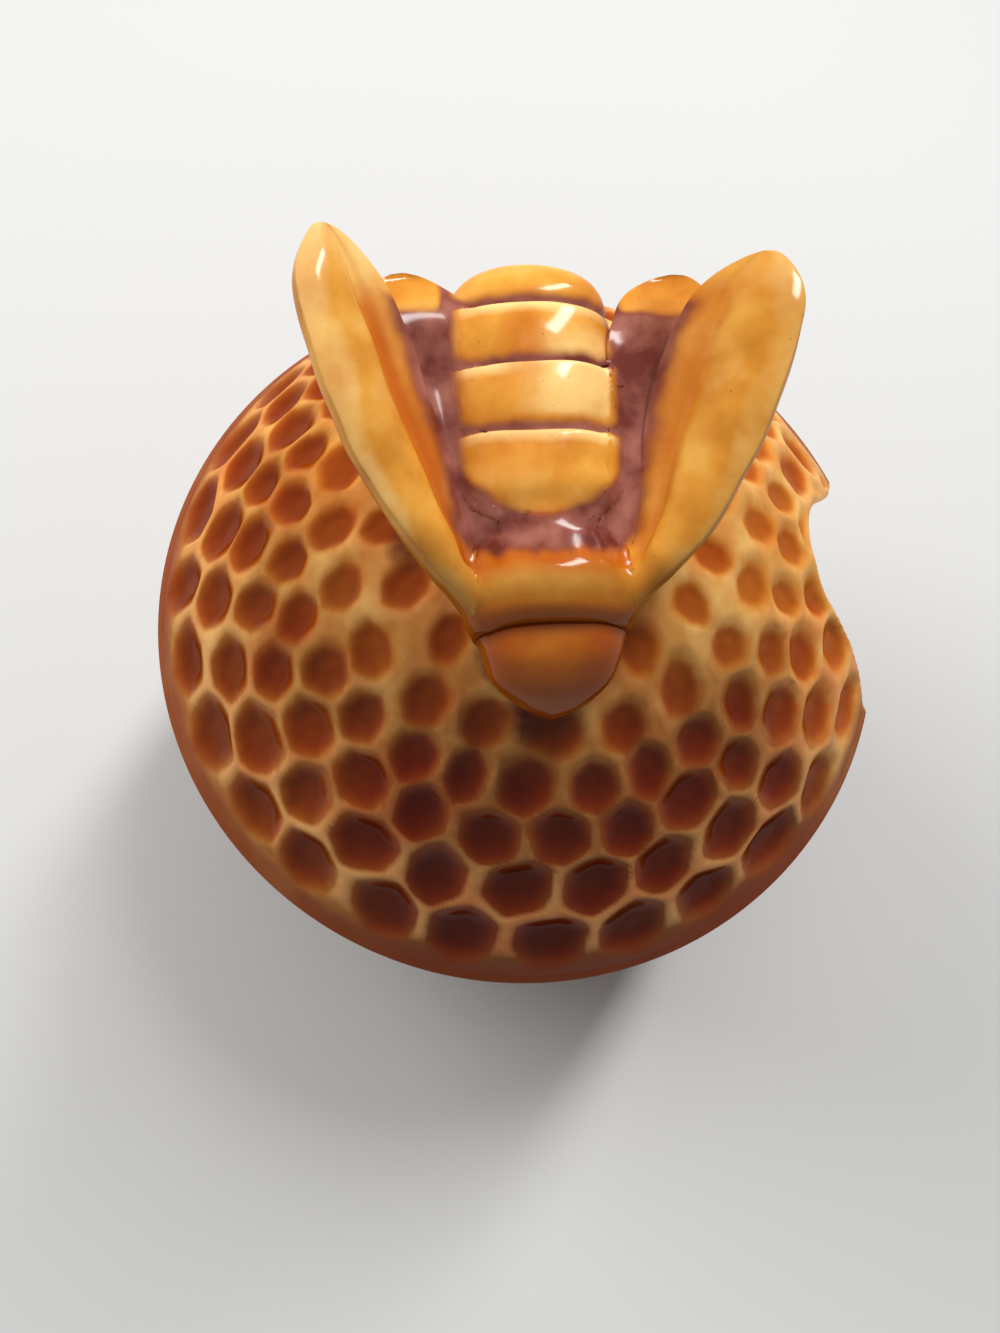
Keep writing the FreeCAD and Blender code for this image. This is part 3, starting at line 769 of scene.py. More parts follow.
def leaf(name, edges, face, thickness, steps, tip_share):
    """A thick leaf between two edges, with a rounded tip. The face gives the height of its upper side
    over the line from the inner edge, at -1, to the outer edge, at 1. Each point keeps where it lies
    across the leaf, along it and through it."""
    at = np.linspace(0, 1, steps)
    at = np.sin(at * math.pi / 2) * TIP_DENSE_SHARE + at * (1 - TIP_DENSE_SHARE)
    outer, inner = (curve_through(edge, at) for edge in edges)
    middle, across = (outer + inner) / 2, (outer - inner) / 2
    up = np.cross(np.gradient(middle, axis=0), across)
    up /= np.linalg.norm(up, axis=1)[:, None]
    up *= np.sign(up[:, 2])[:, None]
    tip = np.clip((at - tip_share) / (1 - tip_share), 0, 1) ** TIP_POWER
    close = np.clip(1 - tip, TIP_LEAST_SHARE, 1)[:, None, None] ** TIP_ROUND
    wide, high = ring_of(LEAF_POINTS, LEAF_SQUARE).T
    upper = smooth(*ROOT_SHARES, at)[:, None] * face(wide) * np.clip(high, 0, 1) ** FACE_ROUND
    lower = -thickness * np.clip(-high, 0, 1)
    thick = (TIP_THICK_SHARE + (1 - TIP_THICK_SHARE) * close) * close * (upper + lower)[:, :, None]
    thing = loft(name, middle[:, None] + across[:, None] * close * wide[None, :, None] + up[:, None] * thick)
    give(
        thing,
        spread=np.concatenate([np.tile(wide, steps), [0, 0]]),
        run=np.concatenate([np.repeat(at, len(wide)), [0, 1]]),
        through=np.concatenate([np.tile(high, steps), [0, 0]]),
    )
    return thing


Roll = namedtuple("Roll", "place_share high crease")
ROLLS = {"left": Roll(0.38, 1.25, 0.5), "right": Roll(0.3, 1.05, 0.22)}
ROLL_POWER, ROLL_ROUND, ROLL_MARGIN_SHARE = 2.2, 0.7, 0.02
FACET_HIGH = 0.45
CREASE_PLACE_SHARE, CREASE_WIDE_SHARE = -0.3, 0.15
FOREWING_THICK, FOREWING_STEPS, WING_TIP_SHARE = 3.4, 110, 0.84


def make_forewing(hand):
    """A rolled outer band, a crease and an inner facet that falls into the valley."""
    crest, high, crease = ROLLS[hand]

    def face(u):
        from_crest = np.abs((u - crest) / (1 - crest + ROLL_MARGIN_SHARE))
        roll = high * np.clip(1 - from_crest**ROLL_POWER, 0, 1) ** ROLL_ROUND
        facet = FACET_HIGH * arched(u)
        return np.maximum(roll, facet) - crease * bell(u - CREASE_PLACE_SHARE, CREASE_WIDE_SHARE)

    name = f"bee_forewing_{hand}_glazed"
    return leaf(name, FOREWINGS[hand], face, FOREWING_THICK, FOREWING_STEPS, WING_TIP_SHARE)


HINDWING_THICK, HINDWING_STEPS = 3.0, 80
# The hollow of its face, and the knuckle before its tip
HOLLOW, KNUCKLE = 0.8, 0.8
KNUCKLE_RISE_SHARES, KNUCKLE_FALL_SHARES = (0.6, 0.88), (0.88, 1)


def make_hindwing(hand):
    """The small wing that fills the valley between the forewing and the abdomen."""

    def face(u):
        return -HOLLOW * arched(u)

    edges = [np.array(edge) * MIRRORED[hand] for edge in HINDWING]
    name = f"bee_hindwing_{hand}_glazed"
    thing = leaf(name, edges, face, HINDWING_THICK, HINDWING_STEPS, WING_TIP_SHARE)
    points = points_of(thing)
    spread, run, through = (held(thing, kept) for kept in ("spread", "run", "through"))
    lift = KNUCKLE * smooth(*KNUCKLE_RISE_SHARES, run) * fade(*KNUCKLE_FALL_SHARES, run)
    points[:, 2] += lift * arched(spread) * (through > 0)
    set_points(thing, points)
    return thing


# The bee's glaze. Shores of the dark pool between the wings, as places across at stations along the bee
SHORE_Y = (-10.0, -8.5, -5.0, -1.0, 3.6, 8.1, 12.2, 15.6)
LEFT_SHORE_X = (-6.6, -7.3, -7.9, -8.8, -10.2, -11.6, -13.3, -14.8)
RIGHT_SHORE_X = (6.4, 7.0, 7.8, 8.5, 9.5, 11.0, 13.2, 15.0)
SHORE = (-1.9, 1.5)
# Ragged edges, and drips that are long along the bee and narrow across it
RAGGED, RAGGED_LENGTH = 0.14, 3.0
DRIP, DRIP_LENGTH, DRIP_SHARES = 0.3, 1.1, np.array([1, 0.08, 0.08])
# The pool's end on the yoke bends back beside the middle, and the valleys' ends by the tail are bare
YOKE_SHORE, YOKE_DRIPS, YOKE_BEND = (-10.6, -7.7), 1.1, 0.02
TAIL_BARE, TAIL_BARE_LEAN, TAIL_BARE_SIDE = (12.0, 13.4), 0.12, (7.0, 8.2)
# A plate is bare from its front on, and the first one's front bends back
PLATE_DRIPS, PLATE_FRONT, PLATE_SIDE, PLATE_END = 0.25, (-0.3, 1.7), (5.3, 7.7), 0.02
FIRST_FRONT, FIRST_BEND = (0.0, 2.2), 0.075


def pooled(points):
    """How thick the dark glaze lies at places on the bee: it fills the valleys and the grooves round
    the abdomen's plates, leaves the plates bare, and runs in short drips over the yoke."""
    x, y = points[:, 0], points[:, 1]
    ragged = RAGGED * waves(points, RAGGED_LENGTH, seed=11)
    drips = DRIP * waves(points * DRIP_SHARES, DRIP_LENGTH, seed=12)
    in_valley = smooth(*SHORE, x - np.interp(y, SHORE_Y, LEFT_SHORE_X) + ragged)
    in_valley *= smooth(*SHORE, np.interp(y, SHORE_Y, RIGHT_SHORE_X) - x + ragged)
    in_valley *= smooth(*YOKE_SHORE, y + YOKE_DRIPS * drips - YOKE_BEND * x * x)
    beside = np.abs(x - ABDOMEN_SIDE - ABDOMEN_LEAN * y)
    tips = smooth(*TAIL_BARE, y + ragged + TAIL_BARE_LEAN * beside) * smooth(*TAIL_BARE_SIDE, beside)
    sides = fade(*PLATE_SIDE, beside + ragged)
    bare = np.zeros(len(points))
    for start, end in zip(PLATES, PLATES[1:]):
        on_plate = y - start + PLATE_DRIPS * drips
        front = smooth(*PLATE_FRONT, on_plate)
        if start == PLATES[0]:
            front = smooth(*FIRST_FRONT, on_plate + ragged - FIRST_BEND * beside**2)
        short = y < end - PLATE_END if end < PLATES[-1] else True
        bare = np.maximum(bare, front * sides * short)
    return np.clip(in_valley * (1 - tips) - bare, 0, 1)


PATCH_LENGTH, CLOUD = 6, (-0.4, 1.3)


def cloudy(patches):
    return smooth(*CLOUD, patches)


# Each of these works out how dark, how warm and how thin the glaze is on one kind of piece, painted shade
# and highlights included, from its points in the bee's frame, how dark the pool is there, and patches of
# random numbers


def glaze_abdomen(thing, points, pool, patches):
    x, y, z = points.T
    least, cloud_share, side_share = 0.1, 0.6, 0.3
    cloud_wide, side_wide = 6.9, 6.3
    in_clouds = cloud_share * cloudy(patches) * (1 - (x / cloud_wide) ** 2)
    warm = least + in_clouds + side_share * np.abs(x / side_wide) ** 3
    worn_from, worn_to = 1.6, 0.2
    thin = 0 * x
    for end in PLATES[1:]:
        thin = np.maximum(thin, smooth(end - worn_from, end - worn_to, y) * (y < end))
    # Paler on the right of the middle plates
    right_patch_share, right_patch_front, right_patch_back, right_patch_side = 0.8, (1.5, 3.0), (12.0, 7.0), (-5, 2)
    right_patch = right_patch_share * smooth(*right_patch_front, y) * smooth(*right_patch_back, y) * smooth(*right_patch_side, x)
    # Glaze pooled on the lower sides, and painted shade beneath, less of both towards the tail
    low_side, tail, tail_share = (0.0, 2.4), (12.5, 15.0), 0.6
    beneath = fade(*low_side, z - abdomen_middle(y)) * (1 - tail_share * smooth(*tail, y))
    return np.maximum(pool, beneath), warm, np.maximum(thin, right_patch)


def glaze_thorax(thing, points, pool, patches):
    x, y, _ = points.T
    front, collar, wander = (-12.4, -13.8), (-11.6, -9.2), 0.4
    least, collar_share, front_share = 0.3, 0.7, 0.5
    warm = least + collar_share * smooth(*collar, y + wander * patches) + front_share * smooth(*front, y)
    spot_share, spot_y, spot_long, spot_wide = 0.6, -11.6, 1.5, 5.5
    thin = spot_share * bell(y - spot_y, spot_long) * bell(x, spot_wide)
    return pool, warm, thin


def glaze_head(thing, points, pool, patches):
    x, y, z = points.T
    reach = -(y - HEAD_Y) * math.cos(HEAD_DROOP) - (z - HEAD_Z) * math.sin(HEAD_DROOP)
    level = -(y - HEAD_Y) * math.sin(HEAD_DROOP) + (z - HEAD_Z) * math.cos(HEAD_DROOP)
    # Painted shade at the point, on the chin and down the drooping face, over a browner glaze
    point, point_share, chin, chin_share = (6.4, 8.6), 0.35, (3.0, 0.6), 0.6
    dark = point_share * smooth(*point, reach) + chin_share * smooth(*chin, level)
    least, face, face_share, most = 0.12, (1.0, 6.0), 0.1, 0.5
    dark = np.maximum(dark, least + face_share * smooth(*face, reach))
    pool = np.minimum(np.maximum(pool, dark), most)
    # Painted highlight: yellower in the middle of the head's top, warmer towards its edges
    middle_x, middle_reach, longer, brow = 0.4, 2.4, 1.2, (1.5, 5.5)
    middle_share, brow_share, patch_share = 0.6, 0.4, 0.15
    from_middle = np.hypot(x - middle_x, longer * (reach - middle_reach))
    warm = middle_share + brow_share * smooth(*brow, from_middle) + patch_share * patches
    return pool, warm, 0 * x


def glaze_hindwing(thing, points, pool, patches):
    least, cloud_share = 0.25, 0.25
    return pool, least + cloud_share * cloudy(patches), 0 * patches


def glaze_forewing(thing, points, pool, patches):
    spread, run, through = (held(thing, name) for name in ("spread", "run", "through"))
    left = points[:, 0].mean() < 0
    top, below, root, tip = (-0.15, 0.1), (0.0, -0.5), (0.1, 0.3), (0.72, 0.95)
    on_top, under = smooth(*top, through), smooth(*below, through)
    lengthwise = smooth(*root, run) * fade(*tip, run)
    crease_wide, facet, facet_end = 0.22, (-0.1, -0.6), (0.8, 0.95)
    in_crease = bell(spread - CREASE_PLACE_SHARE, crease_wide) * on_top * lengthwise
    inner = smooth(*facet, spread) * on_top * fade(*facet_end, run)
    crease_share, cloud_share, inner_share, under_share = 0.85 if left else 0.5, 0.5, 0.45, 0.5
    warm = crease_share * in_crease + cloud_share * cloudy(patches) * on_top
    # The inner facet is warmer, and painted shade makes the underside warmer too
    warm = warm + inner_share * inner + under_share * under
    rim_place, rim_wander, rim_tip, rim_tip_share = (0.35, 0.95), 0.25, (0.8, 0.97), 0.8
    rim = smooth(*rim_place, spread + rim_wander * patches) + rim_tip_share * smooth(*rim_tip, run)
    cream_patch, cream_run = (0.2, -1.1), (0.4, 0.7)
    cream = smooth(*cream_patch, patches) * smooth(*cream_run, run)
    rim_share, cream_share, side_share = 0.6, 0.4, 1.0 if left else 0.7
    thin = (rim_share * rim + cream_share * cream) * on_top * side_share
    # Painted shade: the underside darker
    under_pool_share = 0.35
    return np.maximum(pool * on_top, under_pool_share * under), warm, thin


GLAZES = {
    "abdomen": glaze_abdomen,
    "thorax": glaze_thorax,
    "head": glaze_head,
    "hindwing": glaze_hindwing,
    "forewing": glaze_forewing,
}
# Painted shade towards the head, and darker on the right
SHADE_FRONT, SHADE_FRONT_SHARE, DARK_RIGHT, DARK_RIGHT_SHARE = (-6.0, -13.6), 0.95, (7.0, 10.0), 0.45
# The slight waves of hand-pressed clay along each axis
CLAY_WAVE, CLAY_WAVE_LENGTHS, CLAY_SEED = 0.07, (5, 6, 7), 50


def paint_bee(thing, node, material, shaded_neck):
    """Works out the glaze on a piece, with its painted shade, waves it a little and places it."""
    points = points_of(thing)
    x, y, _ = points.T
    patches = waves(points, PATCH_LENGTH, seed=14)
    # The pool also takes the painted shade at the neck
    pool = np.maximum(pooled(points), shaded_neck)
    pool, warm, thin = GLAZES[node.split("_")[1]](thing, points, pool, patches)
    # Painted shade towards the head, and darker on the right
    front = SHADE_FRONT_SHARE * smooth(*SHADE_FRONT, y)
    dusk = np.maximum(front, DARK_RIGHT_SHARE * smooth(*DARK_RIGHT, x))
    give(thing, pool=np.clip(pool, 0, 1), warm=np.clip(warm, 0, 1), thin=np.clip(thin, 0, 1), dusk=dusk)
    wave = np.stack([waves(points, length, CLAY_SEED + length) for length in CLAY_WAVE_LENGTHS], 1)
    set_points(thing, on_bee(points + CLAY_WAVE * wave))
    return dress(thing, [node], BODY_LID, material, BEE_SHARP_DEGREES)


# How far the soft joints between the clay pieces reach, and the painted shade in the groove where head and
# thorax meet
FOREWING_JOINT, HINDWING_JOINT, WAIST_JOINT, NECK_JOINT, NECK_OVERLAP = 2.4, 1.1, 1.8, 1.2, 0.15
NECK_SHADE_REACH, NECK_SHADE_SHARE, NECK_SHADE_FRONT = 1.1, 0.5, (-13.0, -13.7)


def neck_shade(thing, other):
    """How dark a piece is painted where it meets the other: painted shade in the groove."""
    return NECK_SHADE_SHARE * nearness(points_of(thing), [tree_of(other)], NECK_SHADE_REACH)


def make_bee(material):
    thorax, head, abdomen = make_thorax(), make_head(), make_abdomen()
    pieces = {"bee_thorax": thorax, "bee_head": head, "bee_abdomen": abdomen}
    for hand in ("left", "right"):
        pieces[f"bee_hindwing_{hand}"] = make_hindwing(hand)
        pieces[f"bee_forewing_{hand}"] = make_forewing(hand)
    for hand in ("left", "right"):
        fillet([pieces[f"bee_forewing_{hand}"], thorax], FOREWING_JOINT)
        fillet([pieces[f"bee_hindwing_{hand}"], abdomen], HINDWING_JOINT)
    fillet([abdomen, thorax], WAIST_JOINT)
    fillet([head, thorax], NECK_JOINT, NECK_OVERLAP)
    at_front = smooth(*NECK_SHADE_FRONT, points_of(thorax)[:, 1])
    shaded_neck = {"bee_head": neck_shade(head, thorax), "bee_thorax": neck_shade(thorax, head) * at_front}
    for node, thing in pieces.items():
        paint_bee(thing, node, material, shaded_neck.get(node, 0.0))
    return list(pieces.values())


# The bowl. The solid's belly is turned in straight courses of this angle, and here it is round, just
# inside them.
BELLY_COURSE = math.radians(18)
BELLY_R = round((pot_high[1] - pot_low[1]) / 2 / math.cos(BELLY_COURSE / 2))
BELLY_Z, BELLY_INSET, BOWL_WALL = 35.0, 0.6, 4.0
BELLY_ARC, BELLY_STEPS = (-44, 30), 60
INSIDE_ARC, INSIDE_STEPS = (31, -43), 30
# Points of the foot ring and its recess from the middle out, of the lip, and of the floor back in
FOOT = (
    (0.02, 1.6), (20, 1.6), (27.0, 1.6), (27.7, 1.2), (27.8, 0.5), (28.2, 0.0), (31.0, 0.0), (31.5, 0.4),
    (31.6, 2.6), (31.9, 3.2),
)
LIP_SOFT, LIP_SHOULDER = 0.4, 1.2
NECK_FOOT_Z, LIP_FOOT_Z, LIP_SOFT_Z, MOUTH_FOOT_Z = 58.5, 60.8, 61.7, 57.2
BOWL_FLOOR = ((26.0, 6.2), (15.0, 6.1), (0.02, 6.1))
BOWL_COLUMNS = 256
# Long runs of glaze, thicker towards the foot
RUN_SHARE, RUN_LENGTH, RUN_STRETCH = 0.11, 6, np.array([1, 1, 0.12])
BOWL_POOL_SHARE, BOWL_POOL_FALL, BOWL_POOL_Z, BARE_FOOT = 0.45, 0.012, 30, (2.2, 3.4)


def arc(radius, degrees, steps):
    """Points on a circle about the belly's middle, as pairs of distance and height."""
    angles = np.radians(np.linspace(*degrees, steps))
    return np.stack([radius * np.cos(angles), BELLY_Z + radius * np.sin(angles)], 1)


def make_bowl(material):
    """The bowl in one turned profile with soft corners."""
    top = pot_high[2]
    outer = arc(BELLY_R - BELLY_INSET, BELLY_ARC, BELLY_STEPS)
    lip = [
        (NECK_R, NECK_FOOT_Z), (NECK_R, LIP_FOOT_Z), (NECK_R - LIP_SOFT, LIP_SOFT_Z),
        (NECK_R - LIP_SHOULDER, top), (MOUTH_R + LIP_SHOULDER, top),
        (MOUTH_R + LIP_SOFT, LIP_SOFT_Z), (MOUTH_R, LIP_FOOT_Z), (MOUTH_R, MOUTH_FOOT_Z),
    ]
    inner = arc(BELLY_R - BOWL_WALL, INSIDE_ARC, INSIDE_STEPS)
    profile = np.vstack([FOOT, outer, lip, inner, BOWL_FLOOR])
    thing = turned("pot_bowl_glazed", profile, BOWL_COLUMNS)
    points = points_of(thing)
    runs = RUN_SHARE * waves(points * RUN_STRETCH, RUN_LENGTH, seed=41)
    pool = BOWL_POOL_SHARE + runs - BOWL_POOL_FALL * (points[:, 2] - BOWL_POOL_Z)
    give(thing, pool=np.clip(pool, 0, 1), edge=fade(*BARE_FOOT, points[:, 2]))
    return dress(thing, ["pot_bowl"], BODY_POT, material)


# Materials

BLACK, MIDWAY = (0.0, 0.0, 0.0, 1.0), 0.5
SCREEN_BLACK_RGB, SCREEN_WHITE_RGB = (0, 0, 0), (SCREEN_WHITE, SCREEN_WHITE, SCREEN_WHITE)
GLAZE_IOR = 1.5
# The mix node's own numbers for its colour sockets
MIX_SHARE, MIX_FIRST, MIX_SECOND, MIX_RESULT = 0, 6, 7, 2


def new_node(tree, kind, inputs, **settings):
    """A shader node of this kind. Each input is a plain value or the output of another node."""
    node = tree.nodes.new("ShaderNode" + kind)
    for name, value in settings.items():
        setattr(node, name, value)
    for place, value in inputs.items():
        if isinstance(value, bpy.types.NodeSocket):
            tree.links.new(value, node.inputs[place])
        else:
            node.inputs[place].default_value = value
    return node


def calculated(tree, operation, *values):
    """The output of a sum with these values."""
    return new_node(tree, "Math", dict(enumerate(values)), operation=operation).outputs[0]


class Paint:
    """A node material under construction."""

    def __init__(self, name, roughness, coat=0.6, coat_roughness=0.06):
        self.material = bpy.data.materials.new(name)
        self.material.use_nodes = True
        self.tree = self.material.node_tree
        self.shader = self.tree.nodes["Principled BSDF"]
        gloss = {"Coat Weight": coat, "Coat Roughness": coat_roughness, "Specular IOR Level": 0.0}
        for place, value in {"Roughness": roughness, "IOR": GLAZE_IOR, **gloss}.items():
            self.shader.inputs[place].default_value = value

    def value(self, name):
        """A number stored on the mesh."""
        return new_node(self.tree, "Attribute", {}, attribute_name=name).outputs["Fac"]

    def noise(self, size, seed, detail=3.0):
        """Cloudy noise whose patches are about this many millimetres wide, from 0 to 1."""
        place = new_node(self.tree, "TexCoord", {}).outputs["Object"]
        inputs = {"Vector": place, "W": seed, "Scale": 1 / (size * MM), "Detail": detail}
        return new_node(self.tree, "TexNoise", inputs, noise_dimensions="4D").outputs["Fac"]

    def uneven(self, name, amount, size, seed):
        """A number stored on the mesh, with noise that adds or takes up to half the amount."""
        lowest = calculated(self.tree, "SUBTRACT", self.value(name), amount / 2)
        return calculated(self.tree, "MULTIPLY_ADD", self.noise(size, seed), amount, lowest)

    def ramp(self, source, stops):
        """A colour for a number, through stops of a place from 0 to 1 and a screen colour."""
        node = new_node(self.tree, "ValToRGB", {"Fac": source})
        elements = node.color_ramp.elements
        while len(elements) < len(stops):
            elements.new(MIDWAY)
        for element, (place, colour) in zip(elements, stops):
            element.position = place
            element.color = srgb(*colour)
        return node.outputs["Color"]

    def mask(self, source, black, white):
        """A share for a number: nothing at the first place and everything at the second."""
        return self.ramp(source, sorted(((black, SCREEN_BLACK_RGB), (white, SCREEN_WHITE_RGB))))

    def mix(self, share, first, second, kind="MIX"):
        """The first colour with this share of the second."""
        inputs = {MIX_SHARE: share, MIX_FIRST: first, MIX_SECOND: second}
        return new_node(self.tree, "Mix", inputs, data_type="RGBA", blend_type=kind).outputs[MIX_RESULT]

    def tinted(self, colour, tint):
        """A colour multiplied by another."""
        return self.mix(1.0, colour, tint, "MULTIPLY")

    def finish(self, colour, bump, strength, distance):
        inputs = {"Height": bump, "Strength": strength, "Distance": distance * MM}
        normal = new_node(self.tree, "Bump", inputs).outputs["Normal"]
        self.tree.links.new(colour, self.shader.inputs["Base Color"])
        self.tree.links.new(normal, self.shader.inputs["Normal"])
        return self.material


# Screen colours of the comb's glaze from its thinnest to its thickest, in the shade and where it is lit
COMB_SHADED = ((0.0, (140, 82, 32)), (0.3, (132, 64, 22)), (0.65, (114, 43, 10)), (1.0, (94, 29, 6)))
COMB_LIT = ((0.0, (212, 152, 74)), (0.3, (208, 134, 50)), (0.7, (176, 94, 24)), (1.0, (152, 72, 14)))
COMB_CREST, COMB_LIT_CREAM = srgb(212, 154, 92), srgb(234, 188, 112)
COMB_CLOUD, COMB_RED = srgb(248, 214, 200), srgb(255, 240, 200)
COMB_PALE, COMB_SHADE_AND_POOL, COMB_BAND = srgb(176, 122, 64), srgb(96, 38, 16), srgb(134, 52, 16)
COMB_EDGE, COMB_INSIDE = srgb(222, 164, 112), srgb(190, 132, 70)


def comb_glaze():
    """Amber glaze that breaks pale over the ridges and gathers dark in the cells, with painted light on the
    lit side and painted shade round the bee.
    """
    paint = Paint("comb_glaze_paint", roughness=0.4, coat=0.18, coat_roughness=0.1)
    pool = paint.uneven("pool", amount=0.3, size=1.3, seed=1.0)
    amber = paint.mask(paint.uneven("amber", amount=0.4, size=8, seed=12.0), black=0.1, white=0.95)
    # Painted light and shade: the shaded and the lit copies of the glaze, mixed by the painted light's share
    colour = paint.mix(amber, paint.ramp(pool, COMB_SHADED), paint.ramp(pool, COMB_LIT))
    crest = paint.mask(paint.uneven("crest", amount=0.5, size=1.6, seed=16.0), black=0.2, white=1.0)
    colour = paint.mix(crest, colour, COMB_CREST)
    dry = paint.mask(pool, black=0.5, white=0.1)
    # Cream patches on the bare ground, shown only where the lit colours are painted: part of the painted
    # light
    cream = paint.mix(dry, BLACK, paint.mask(paint.noise(size=5, seed=17.0), black=0.45, white=0.68))
    colour = paint.mix(paint.mix(amber, BLACK, cream), colour, COMB_LIT_CREAM)
    cloud = paint.mask(paint.noise(size=7, seed=2.0), black=0.42, white=0.66)
    colour = paint.mix(cloud, colour, paint.tinted(colour, COMB_CLOUD))
    colour = paint.mix(paint.value("red"), colour, paint.tinted(colour, COMB_RED))
    paler_share, band_share = 0.1, 0.8
    paler = paint.mix(paler_share, colour, COMB_PALE)
    colour = paint.mix(paint.mix(dry, BLACK, paint.value("pale")), colour, paler)
    # Painted shade with pooled glaze round the bee
    shade_and_pool = paint.mask(paint.uneven("shade_and_pool", amount=0.5, size=1.6, seed=13.0), black=0.25, white=0.9)
    colour = paint.mix(shade_and_pool, colour, COMB_SHADE_AND_POOL)
    colour = paint.mix(paint.value("band"), colour, paint.mix(band_share, colour, COMB_BAND))
    colour = paint.mix(paint.value("edge"), colour, COMB_EDGE)
    colour = paint.mix(paint.value("inside"), colour, COMB_INSIDE)
    return paint.finish(colour, paint.noise(size=0.5, seed=3.0), strength=0.15, distance=0.05)


# Screen colours of the bee's glaze
BEE_YELLOW = ((0.34, (196, 126, 36)), (0.5, (218, 150, 54)), (0.68, (230, 174, 84)))
BEE_PURPLE = ((0.36, (104, 44, 36)), (0.66, (164, 102, 86)))
BEE_BROWN = ((0.2, (184, 98, 28)), (0.6, (134, 60, 34)))
BEE_THIN, BEE_WARM = srgb(240, 200, 128), srgb(192, 98, 18)
BEE_SHADE_AND_DARK_TINT, BEE_SPECK = srgb(196, 174, 96), srgb(120, 78, 36)


def bee_glaze():
    """Honey yellow glaze, orange where it is thicker and purple brown in the grooves."""
    paint = Paint("bee_glaze_paint", roughness=0.4, coat=0.42, coat_roughness=0.12)
    yellow = paint.ramp(paint.noise(size=5, seed=4.0), BEE_YELLOW)
    thin = paint.mask(paint.uneven("thin", amount=0.7, size=2.2, seed=15.0), black=0.2, white=1.0)
    yellow = paint.mix(thin, yellow, BEE_THIN)
    warm = paint.mask(paint.uneven("warm", amount=0.4, size=1.4, seed=5.0), black=0.2, white=1.0)
    colour = paint.mix(warm, yellow, BEE_WARM)
    pool = paint.uneven("pool", amount=0.2, size=1.1, seed=6.0)
    purple = paint.ramp(paint.noise(size=3.5, seed=14.0), BEE_PURPLE)
    deep = paint.mix(paint.mask(pool, black=0.4, white=0.9), paint.ramp(pool, BEE_BROWN), purple)
    colour = paint.mix(paint.mask(pool, black=0.08, white=0.75), colour, deep)
    # Painted shade towards the head, and darker on the right
    colour = paint.mix(paint.value("dusk"), colour, paint.tinted(colour, BEE_SHADE_AND_DARK_TINT))
    speck = paint.mask(paint.noise(size=0.4, seed=7.0, detail=1.0), black=0.2, white=0.27)
    speck_share = 0.6
    colour = paint.mix(speck, paint.mix(speck_share, colour, BEE_SPECK), colour)
    return paint.finish(colour, paint.noise(size=0.6, seed=8.0), strength=0.12, distance=0.05)


BOWL_RUNS = ((0.1, (196, 130, 54)), (0.45, (160, 84, 26)), (0.9, (98, 34, 12)))
BOWL_FOOT = srgb(206, 170, 128)


def bowl_glaze():
    """The same amber glaze in long runs, over a bare foot ring."""
    paint = Paint("bowl_glaze_paint", roughness=0.25)
    colour = paint.ramp(paint.uneven("pool", amount=0.25, size=3, seed=9.0), BOWL_RUNS)
    colour = paint.mix(paint.value("edge"), colour, BOWL_FOOT)
    return paint.finish(colour, paint.noise(size=2, seed=10.0), strength=0.15, distance=0.1)


# The photograph's camera: where it stands in the lid's frame, in lid radii, and how it is turned. Its
# focal length and the photograph's height are in pixels.
PHOTO_HIGH, FOCAL_PIXELS = 1333, 1000
CAMERA_SIDE, CAMERA_UP, CAMERA_AWAY = 0.063, 0.155, 2.814
TILT_BACK, TILT_SIDE = math.radians(-14.2), math.radians(3.8)
SENSOR_MM = 36
CLIP_NEAR_M, CLIP_FAR_M = 0.005, 20


def make_camera():
    turn = Matrix.Rotation(TILT_SIDE, 3, "Y") @ Matrix.Rotation(TILT_BACK, 3, "X")
    data = bpy.data.cameras.new("camera")
    data.sensor_width = SENSOR_MM
    data.lens = FOCAL_PIXELS / PHOTO_HIGH * SENSOR_MM
    data.clip_start, data.clip_end = CLIP_NEAR_M, CLIP_FAR_M
    camera = add_object("camera", data)
    to_world = turn.transposed()
    place = to_world @ Vector((-CAMERA_SIDE, -CAMERA_UP, CAMERA_AWAY)) * float(LID_R * MM)
    place.z += RIM_Z_M
    camera.matrix_world = Matrix.Translation(place) @ to_world.to_4x4()
    bpy.context.scene.camera = camera


# The stage: what lights the pot from all round, and what the camera sees behind it. The floor turns
# into that backdrop between a near and a far distance.
WORLD_LIGHT, BACKDROP = 0.25, 0.68
BACKDROP_TINT, FLOOR_TINT = (1.0, 0.995, 0.985, 1.0), (0.6, 0.6, 0.59, 1)
BACKDROP_NEAR_M, BACKDROP_FAR_M = 0.14, 0.42
FLOOR_HALF_M = 3.0


def seen_directly(tree):
    """1 for what the camera sees, also in a reflection or through glass, and 0 for light."""
    path = new_node(tree, "LightPath", {}).outputs
    total = path["Is Camera Ray"]
    for name in ("Is Glossy Ray", "Is Transmission Ray"):
        either = {0: total, 1: path[name]}
        total = new_node(tree, "Math", either, operation="ADD", use_clamp=True).outputs[0]
    return total


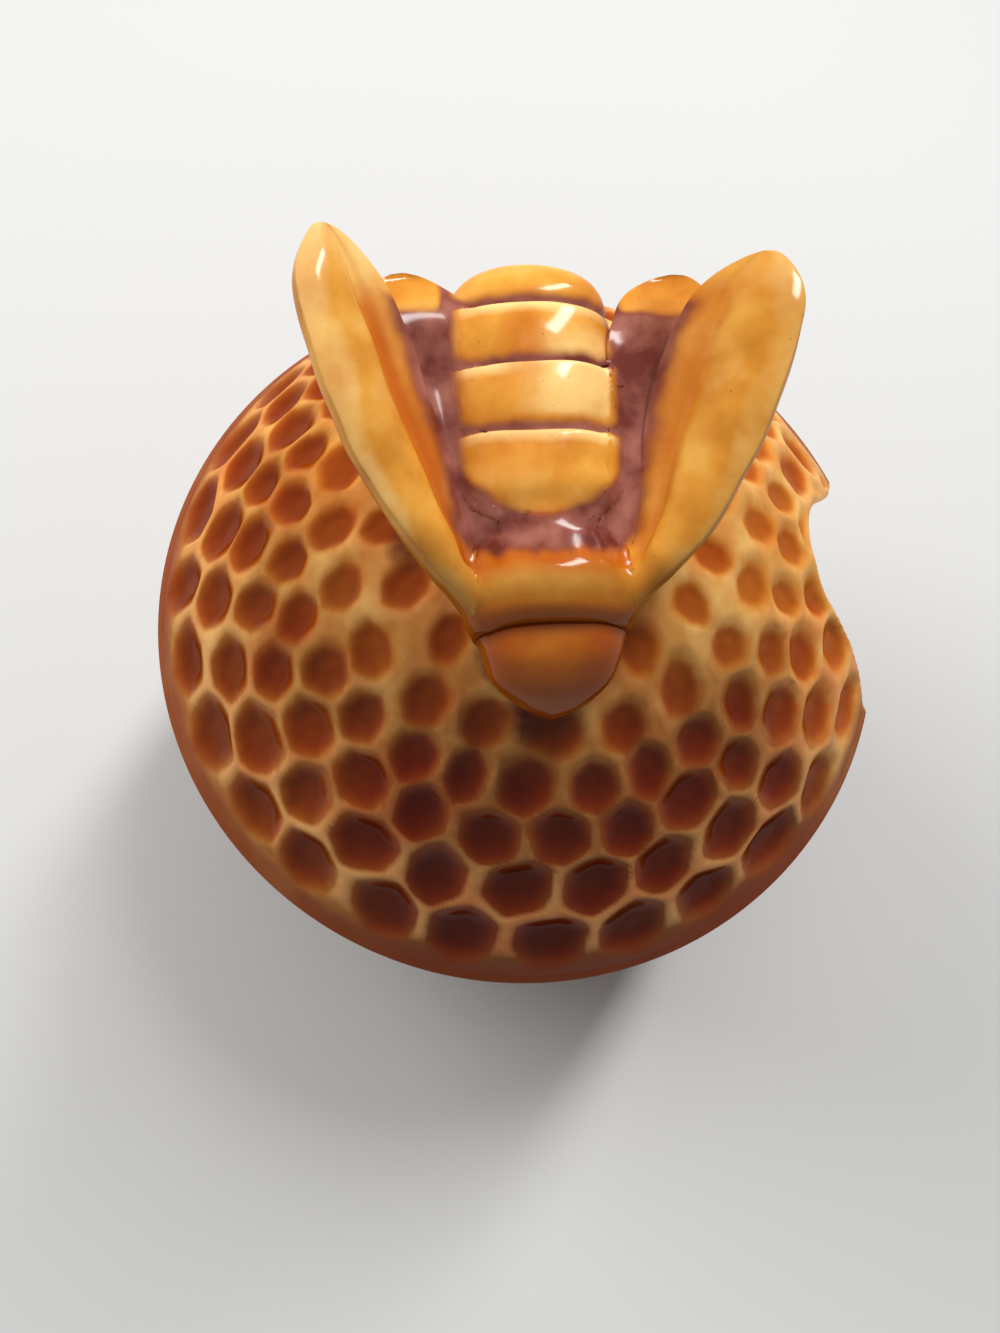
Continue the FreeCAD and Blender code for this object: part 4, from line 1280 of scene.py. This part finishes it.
def floor_paint():
    """Plain pale paint near the pot, and the backdrop's own light further off."""
    paint = Paint("floor_paint", roughness=0.9, coat=0.0)
    tree, shader = paint.tree, paint.shader
    shader.inputs["Base Color"].default_value = FLOOR_TINT
    place = new_node(tree, "NewGeometry", {}).outputs["Position"]
    away = new_node(tree, "VectorMath", {0: place}, operation="LENGTH").outputs["Value"]
    turning = {"Value": away, "From Min": BACKDROP_NEAR_M, "From Max": BACKDROP_FAR_M}
    far = new_node(tree, "MapRange", turning, interpolation_type="SMOOTHSTEP").outputs["Result"]
    share = calculated(tree, "MULTIPLY", far, seen_directly(tree))
    glow = new_node(tree, "Emission", {"Color": BACKDROP_TINT, "Strength": BACKDROP}).outputs[0]
    blend = new_node(tree, "MixShader", {0: share, 1: shader.outputs[0], 2: glow}).outputs[0]
    tree.links.new(blend, tree.nodes["Material Output"].inputs["Surface"])
    return paint.material


def make_stage():
    half = FLOOR_HALF_M / MM
    corners = [(-half, -half, 0), (half, -half, 0), (half, half, 0), (-half, half, 0)]
    floor = new_mesh("floor", corners, [(0, 1, 2, 3)])
    floor.data.materials.append(floor_paint())
    world = bpy.data.worlds.new("studio")
    world.use_nodes = True
    tree = world.node_tree
    sky = tree.nodes["Background"]
    sky.inputs["Color"].default_value = BACKDROP_TINT
    strength = calculated(tree, "MULTIPLY_ADD", seen_directly(tree), BACKDROP - WORLD_LIGHT, WORLD_LIGHT)
    tree.links.new(strength, sky.inputs["Strength"])
    bpy.context.scene.world = world


def make_light(name, place_m, size_m, watts, in_reflections):
    """A lamp of this width and height that looks at the lid."""
    data = bpy.data.lights.new(name, "AREA")
    data.shape = "RECTANGLE"
    data.size, data.size_y = size_m
    data.energy = watts
    lamp = add_object(name, data)
    lamp.location = Vector(place_m)
    lamp.rotation_mode = "QUATERNION"
    lamp.rotation_quaternion = (Vector((0, 0, RIM_Z_M)) - lamp.location).to_track_quat("-Z", "Y")
    lamp.visible_glossy = in_reflections


comb, bee, bowl = comb_glaze(), bee_glaze(), bowl_glaze()
make_dome(comb, make_bee(bee))
make_bowl(bowl)
make_camera()
make_stage()
make_light("window", place_m=(0.22, 0.32, 0.58), size_m=(0.09, 0.36), watts=3.6, in_reflections=True)
make_light("ceiling", place_m=(-0.05, 0.30, 0.80), size_m=(0.50, 0.50), watts=1.2, in_reflections=False)
make_light("room", place_m=(-0.56, 0.35, 0.46), size_m=(0.50, 0.50), watts=4.4, in_reflections=False)
bpy.context.scene.view_settings.view_transform = "Standard"
